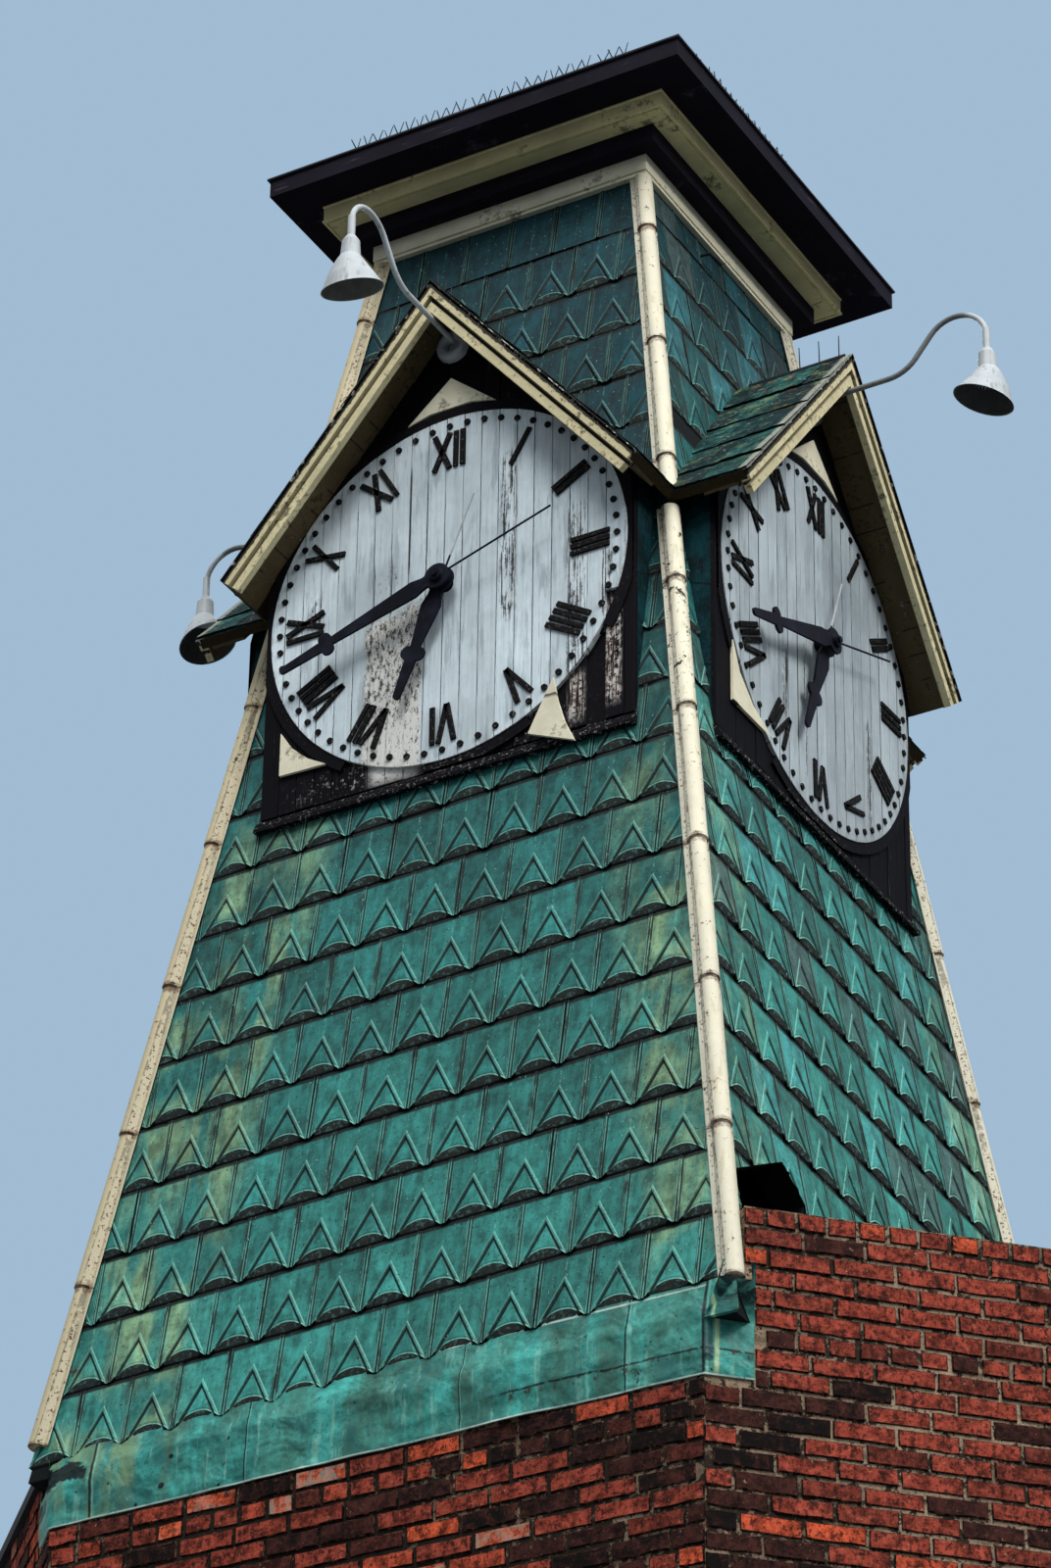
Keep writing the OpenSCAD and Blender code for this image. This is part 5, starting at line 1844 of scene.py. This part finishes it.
class TOWER_OT_cornice(bpy.types.Operator):
    """Finish the cornice and the flat roof over it, with its bird spikes and bent hook"""

    bl_idname = "tower.cornice"
    bl_label = "Cornice, roof and spikes"

    def execute(self, context):
        coat("frieze_board", material(cream_boards, "cream_light", 1.0))
        coat("crown_moulding", material(cream_boards, "olive", 0.8))
        coat("cornice_bed", material(roof_edge_paint))
        coat("roof_slab", material(roof_edge_paint))
        coat("roof_cap", material(dark_metal))
        self.spikes()
        return {"FINISHED"}

    def spikes(self):
        """Spikes along the roof's edges and the gables' ridges, and the hook."""
        pick = seeded("spikes")
        bm = empty_mesh()
        for side in range(4):
            part = empty_mesh()
            for start, end in SPIKE_RUNS[side % 2]:
                self.fans(part, start, end, pick)
            self.ridge(part, RIDGE_SPIKES[side % 2], pick)
            part.transform(turned(side))
            join_in(bm, part)
        self.hook(bm)
        piece("bird_spikes", bm, [material(spike_metal)])

    def fans(self, part, start, end, pick):
        """Pairs of wires that lean apart, on a strip along the front edge of the roof."""
        sizes = settings("trim")
        out = ROOF_HALF - 0.03
        base = ROOF_Z + 0.030
        block(part, (start - 0.01, -out - 0.008, base - 0.024), (end + 0.01, -out + 0.008, base + 0.002))
        x = start + sizes.spike_pitch / 2
        while x < end:
            for way in (-1, 1):
                lean = way * sizes.spike_lean + pick.gauss(0, 0.003)
                tip = (x + lean, -out + pick.gauss(0, 0.004), base + sizes.spike + pick.gauss(0, 0.002))
                rod(part, (x, -out, base), tip, sizes.wire, 4, sizes.wire * 0.7)
            x += sizes.spike_pitch

    def ridge(self, part, spikes, pick):
        """Upright wires on a strip along the front gable's ridge."""
        wire = settings("trim").wire
        count, pitch, tall = spikes
        for i in range(count):
            out = GABLE_OUT - 0.06 - i * pitch
            tip = (pick.gauss(0, 0.004), -out, GABLE_Z + tall)
            rod(part, (0, -out, GABLE_Z - 0.004), tip, wire, 4, wire * 0.7)
        far, near = 0.03 - GABLE_OUT, 0.45 - GABLE_OUT
        block(part, (-0.012, far, GABLE_Z - 0.008), (0.012, near, GABLE_Z + 0.002))

    def hook(self, bm):
        """The bent hook that stands out of the right wall."""
        wire = settings("trim").hook_wire
        z = SKIRT_Z + HOOK_HEIGHT
        wall = wall_half(z)
        rod(bm, (wall - 0.01, -0.155, z), (wall + 0.05, -0.150, z - 0.004), wire, 8)
        rod(bm, (wall + 0.048, -0.152, z - 0.004), (wall + 0.050, -0.060, z + 0.004), wire, 8)


class TOWER_OT_surrounds(bpy.types.Operator):
    """Board the cases round the dials, with their black rings and cream corner pieces"""

    bl_idname = "tower.surrounds"
    bl_label = "Boards round the dials"

    def execute(self, context):
        for side, name in enumerate(SIDES):
            coat(name + "_dial_case", material(dark_case))
            self.boards(side, name)
            self.ring(side, name)
            self.corners(side, name)
        return {"FINISHED"}

    def boards(self, side, name):
        """Upright boards from the sill up to the gable's slopes."""
        sizes = settings("dial")
        pick = seeded("case", side)
        peak = CASE_PEAK_Z - DIAL_Z
        bm = empty_mesh()
        left = -CASE_HALF
        while left < CASE_HALF - 0.01:
            right = min(left + sizes.board - sizes.gap, CASE_HALF)
            thick = pick.uniform(0.007, 0.012)
            foot = SILL_Z - DIAL_Z + pick.uniform(0, 0.006)
            if side == 0 and SHORT_BOARD_AT[0] < left < SHORT_BOARD_AT[1]:
                foot = SHORT_BOARD_FOOT + SKIRT_Z - DIAL_Z
            part = empty_mesh()
            block(part, (left, foot, -0.002), (right, peak, thick), sizes.worn)
            for way in (-1, 1):
                slice_off(part, (0, peak, 0), (way * GABLE_PITCH, 1, 0))
            join_in(bm, part, tone=pick.random())
            left += sizes.board
        map_flat(bm)
        bm.transform(turned(side) @ dial_frame(CASE_OUT))
        finish = material(black_boards, "sound" if side else "peeled")
        piece(name + "_case_boards", bm, [finish])

    def ring(self, side, name):
        """A black ring round the dial, with the lengths that have come away left out."""
        sizes = settings("dial")
        gaps = RING_GAPS.get(name, ())
        bm = empty_mesh()
        step = 3
        for start in range(0, 360, step):
            if any(low <= start < high for low, high in gaps):
                continue
            part = empty_mesh()
            block(part, (DIAL_R - 0.004, -0.0001, 0.004), (DIAL_R + sizes.ring, 0.0001, 0.020))
            near, far = math.radians(90 - start - step), math.radians(90 - start)
            for vert in part.verts:
                angle = near if vert.co.y < 0 else far
                radius = vert.co.x
                vert.co.x, vert.co.y = radius * math.cos(angle), radius * math.sin(angle)
            join_in(bm, part, dial_frame(CASE_OUT))
        bmesh.ops.remove_doubles(bm, verts=bm.verts, dist=0.0002)
        for way in (-1, 1):
            cut(bm, (way * (CASE_HALF - 0.004), 0, 0), (way, 0, 0), drop_outer=True)
            cut(bm, (0, 0, CASE_PEAK_Z), (way * GABLE_PITCH, 0, 1), drop_outer=True)
        cut(bm, (0, 0, SILL_Z), (0, 0, -1), drop_outer=True)
        bm.transform(turned(side))
        piece(name + "_dial_ring", bm, [material(dark_case)], smooth=0.5)

    def corners(self, side, name):
        """Cream corner pieces on the case's boards. One hangs loose on the front."""
        sizes = settings("trim")
        left = RIGHT_DIAL_PIECE if side == 1 else LEFT_PIECE
        shapes = [(TOP_PIECE, sizes.corner_out), (left, sizes.corner_out)]
        if side == 0:
            shapes.append((LOOSE_PIECE, sizes.loose_out))
        if side > 1:
            shapes.append((tuple((-x, y) for x, y in left), sizes.corner_out))
        bm = empty_mesh()
        for points, out in shapes:
            part = empty_mesh()
            face = part.faces.new([part.verts.new((x, y + SKIRT_Z - DIAL_Z, out)) for x, y in points])
            face.normal_update()
            if face.normal.z < 0:
                face.normal_flip()
            thicken(part, sizes.corner_thick)
            join_in(bm, part, dial_frame(CASE_OUT))
        bm.transform(turned(side))
        finish = material(cream_boards, "cream_light", 1.25)
        piece(name + "_corner_pieces", bm, [finish])


def numeral_bars(word):
    """The bars of a numeral as (x, y) ends, in shares of its height, centred on it."""
    sizes = settings("dial")
    pitch = sizes.pitch / sizes.numeral_height
    widths = {"I": pitch, "V": 0.55, "X": 0.55}
    left = -sum(widths[letter] for letter in word) / 2
    bars = []
    for letter in word:
        width = widths[letter]
        middle = left + width / 2
        half = width / 2 - 0.07
        if letter == "I":
            bars.append(((middle, -0.5), (middle, 0.5)))
        elif letter == "V":
            bars.append(((middle - half, 0.5), (middle, -0.5)))
            bars.append(((middle + half, 0.5), (middle, -0.5)))
        else:
            bars.append(((middle - half, 0.5), (middle + half, -0.5)))
            bars.append(((middle + half, 0.5), (middle - half, -0.5)))
        left += width
    return bars


class TOWER_OT_dials(bpy.types.Operator):
    """Board the dials and set their numerals and minute dots"""

    bl_idname = "tower.dials"
    bl_label = "Dials"

    def execute(self, context):
        for side, name in enumerate(SIDES):
            self.boards(side, name)
            self.marks(side, name)
        return {"FINISHED"}

    def boards(self, side, name):
        """Upright boards that make the round dial, with a hole for the hands' shafts."""
        sizes = settings("dial")
        pick = seeded("dial", side)
        bm = empty_mesh()
        left = BOARD_JOINT - 10 * sizes.board
        turns = [math.radians(30 * i) for i in range(12)]
        out = [Vector((math.cos(turn), math.sin(turn), 0)) for turn in turns]
        hole = [(HOLE_R * way, way) for way in out]
        while left < DIAL_R - 0.02:
            right = left + sizes.board - sizes.gap * pick.uniform(0.5, 1.3)
            last = left + sizes.board > DIAL_R - 0.02
            part = empty_mesh()
            radius = DIAL_R * pick.uniform(0.998, 1.0)
            bmesh.ops.create_circle(part, cap_ends=True, segments=120, radius=radius)
            thicken(part, DIAL_OUT - CASE_OUT + pick.uniform(-0.0015, 0.0))
            slice_off(part, (left, 0, 0), (-1, 0, 0))
            if not last:
                slice_off(part, (right, 0, 0), (1, 0, 0))
            if last and side == 0:
                slice_off(part, (0, LOST_BOARD_FOOT + SKIRT_Z - DIAL_Z, 0), (0, -1, 0))
            bmesh.ops.recalc_face_normals(part, faces=part.faces)
            parts = carve(part, hole) if left < HOLE_R and right > -HOLE_R else [part]
            left += sizes.board
            tone = pick.random()
            for bit in parts:
                join_in(bm, bit, tone=tone)
        map_flat(bm)
        bm.transform(turned(side) @ dial_frame(CASE_OUT))
        finish = material(dial_paint, name if name in DIAL_WEAR else "rear")
        piece(name + "_dial_boards", bm, [finish], replaces=(name + "_dial",))

    def marks(self, side, name):
        """Numerals made of plain bars and sixty round dots."""
        sizes = settings("dial")
        pick = seeded("marks", side)
        bm = empty_mesh()
        for hour, word in enumerate(NUMERALS):
            turn = Matrix.Rotation(math.radians(-30 * hour) + pick.gauss(0, 0.01), 4, "Z")
            at = turn @ Matrix.Translation((0, sizes.numeral_at, 0))
            if side == 1 and hour == LOOSE_NUMERAL[0]:
                _, (x, y), over = LOOSE_NUMERAL
                at = Matrix.Translation((x, y, 0)) @ Matrix.Rotation(math.radians(over - 30 * hour), 4, "Z")
            for start, end in numeral_bars(word):
                self.bar(bm, dial_frame() @ at, Vector(start), Vector(end), pick)
        for minute in range(60):
            angle = math.radians(6 * minute)
            x, y = sizes.dots_at * math.sin(angle), sizes.dots_at * math.cos(angle)
            part = empty_mesh()
            rod(part, (x, y, -0.002), (x, y, sizes.relief * 0.8), sizes.dot, 16, sizes.dot * 0.92)
            join_in(bm, part, dial_frame())
        bm.transform(turned(side))
        piece(name + "_numerals", bm, [material(numeral_paint)])

    def bar(self, bm, place, start, end, pick):
        """One bar of a numeral between two ends, which are shares of its height."""
        sizes = settings("dial")
        run = (end - start) * sizes.numeral_height
        middle = (start + end) / 2 * sizes.numeral_height
        part = empty_mesh()
        half = sizes.bar / 2 * pick.uniform(0.92, 1.08)
        block(part, (-half, -run.length / 2, -0.002), (half, run.length / 2, sizes.relief), sizes.worn)
        lean = Matrix.Rotation(-math.atan2(run.x, run.y) + pick.gauss(0, 0.008), 4, "Z")
        join_in(bm, part, place @ Matrix.Translation((middle.x, middle.y, 0)) @ lean)


class TOWER_OT_hands(bpy.types.Operator):
    """Paint the hands and the hour hands' pale tails"""

    bl_idname = "tower.hands"
    bl_label = "Hands"

    def execute(self, context):
        for side, name in enumerate(SIDES):
            coat(name + "_minute_hand", material(black_paint))
            coat(name + "_hour_hand", material(hour_paint, side))
        return {"FINISHED"}


class TOWER_OT_gables(bpy.types.Operator):
    """Lay the ragged metal sheets on the gables and finish their bargeboards and soffits"""

    bl_idname = "tower.gables"
    bl_label = "Gables"

    def execute(self, context):
        for side, name in enumerate(SIDES):
            coat(name + "_gable_roof", material(gable_metal))
            coat(name + "_bargeboards", material(verge_paint))
            self.sheets(side, name)
        return {"FINISHED"}

    def sheets(self, side, name):
        """Rows of small lapped sheets with ragged lower edges on both slopes."""
        sizes = settings("trim")
        pick = seeded("sheets", side)
        angle = math.atan(GABLE_PITCH)
        length_of_slope = GABLE_HALF / math.cos(angle)
        bm = empty_mesh()
        for way in (-1, 1):
            down = (way * math.cos(angle), 0, -math.sin(angle))
            up_out = (way * math.sin(angle), 0, math.cos(angle))
            place = columns((0, -1, 0), down, up_out, (0, 0, GABLE_Z))
            top = 0.004
            while top < length_of_slope - 0.05:
                foot = min(top + sizes.sheet_row, length_of_slope - 0.004)
                out = GABLE_OUT - 0.006
                while out > SHEETS_FROM:
                    wide = pick.uniform(sizes.sheet_narrow, sizes.sheet_wide)
                    self.sheet(bm, place, out - wide, out, top, foot, pick)
                    out -= wide * 0.97
                top += sizes.sheet_row
        mitre(bm)
        bm.transform(turned(side))
        finishes = [material(gable_metal), material(batten_dark)]
        piece(name + "_gable_sheets", bm, finishes, smooth=0.5)

    def sheet(self, bm, place, near, far, top, foot, pick):
        """One sheet, tucked in at its top and standing off the slope at its ragged foot."""
        steps = 6
        lift = pick.uniform(0.006, 0.013)
        form = empty_mesh()
        uppers, lowers, feet = [], [], []
        for i in range(steps + 1):
            across = near + (far - near) * i / steps
            sag = pick.uniform(-0.008, 0.006)
            uppers.append(form.verts.new((across, max(top - 0.012, 0.001), 0.0016)))
            lowers.append(form.verts.new((across, foot + sag, lift + pick.uniform(-0.0015, 0.0015))))
            feet.append(form.verts.new((across, foot + sag - 0.002, 0.0004)))
        for i in range(steps):
            form.faces.new((uppers[i], uppers[i + 1], lowers[i + 1], lowers[i]))
            edge = form.faces.new((lowers[i], lowers[i + 1], feet[i + 1], feet[i]))
            # Painted shade: the sheet's lower edge takes the near-black finish
            edge.material_index = 1
        bmesh.ops.recalc_face_normals(form, faces=form.faces)
        if form.faces[:][0].normal.z < 0:
            bmesh.ops.reverse_faces(form, faces=form.faces)
        join_in(bm, form, place, pick.random())


class TOWER_OT_lamps(bpy.types.Operator):
    """Enamel the gooseneck lamps, with painted shade inside their shades"""

    bl_idname = "tower.lamps"
    bl_label = "Gooseneck lamps"

    def execute(self, context):
        for side, name in enumerate(SIDES):
            coat(name + "_lamp", material(lamp_enamel))
            self.darken(side, name)
        return {"FINISHED"}

    def darken(self, side, name):
        """Gives the faces that look in at the shade's own middle line the dark finish of painted shade."""
        mesh = frame["nodes"][name + "_lamp"].data
        mesh.materials.append(material(shade_inside))
        back = turned(side).inverted()
        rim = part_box(name + "_lamp")[0].z
        for face in mesh.polygons:
            middle, normal = back @ face.center, back.to_3x3() @ face.normal
            share = (rim + SHADE_TALL - middle.z) / SHADE_TALL
            out = Vector((middle.x, middle.y + LAMP_OUT - SHADE_BEND * share * share, 0.0))
            inward = normal.dot(out) < -0.2 * out.length
            if share > 0.03 and (inward or (normal.z < -0.9 and share < 0.3)):
                face.material_index = 1


class TOWER_PT_panel(bpy.types.Panel):
    """Lists the steps that dress the tower"""

    bl_label = "Clock tower"
    bl_idname = "TOWER_PT_panel"
    bl_space_type = "VIEW_3D"
    bl_region_type = "UI"
    bl_category = "Clock tower"

    def draw(self, context):
        for step in STEPS:
            self.layout.operator(step.bl_idname)
        for name in GROUPS:
            group = getattr(context.scene, name)
            box = self.layout.box()
            for value in group.bl_rna.properties.keys():
                if value not in ("rna_type", "name"):
                    box.prop(group, value)


STEPS = (
    TOWER_OT_stage,
    TOWER_OT_brickwork,
    TOWER_OT_flat_roof,
    TOWER_OT_shingles,
    TOWER_OT_skirt,
    TOWER_OT_hips,
    TOWER_OT_cornice,
    TOWER_OT_surrounds,
    TOWER_OT_dials,
    TOWER_OT_hands,
    TOWER_OT_gables,
    TOWER_OT_lamps,
)


def register():
    for name, group in GROUPS.items():
        bpy.utils.register_class(group)
        setattr(bpy.types.Scene, name, PointerProperty(type=group))
    for step in STEPS + (TOWER_PT_panel,):
        bpy.utils.register_class(step)


def unregister():
    for step in reversed(STEPS + (TOWER_PT_panel,)):
        bpy.utils.unregister_class(step)
    for name, group in GROUPS.items():
        delattr(bpy.types.Scene, name)
        bpy.utils.unregister_class(group)


def main():
    """Dresses the tower step by step."""
    register()
    for step in STEPS:
        group, name = step.bl_idname.split(".")
        getattr(getattr(bpy.ops, group), name)()


if __name__ == "__main__":
    main()
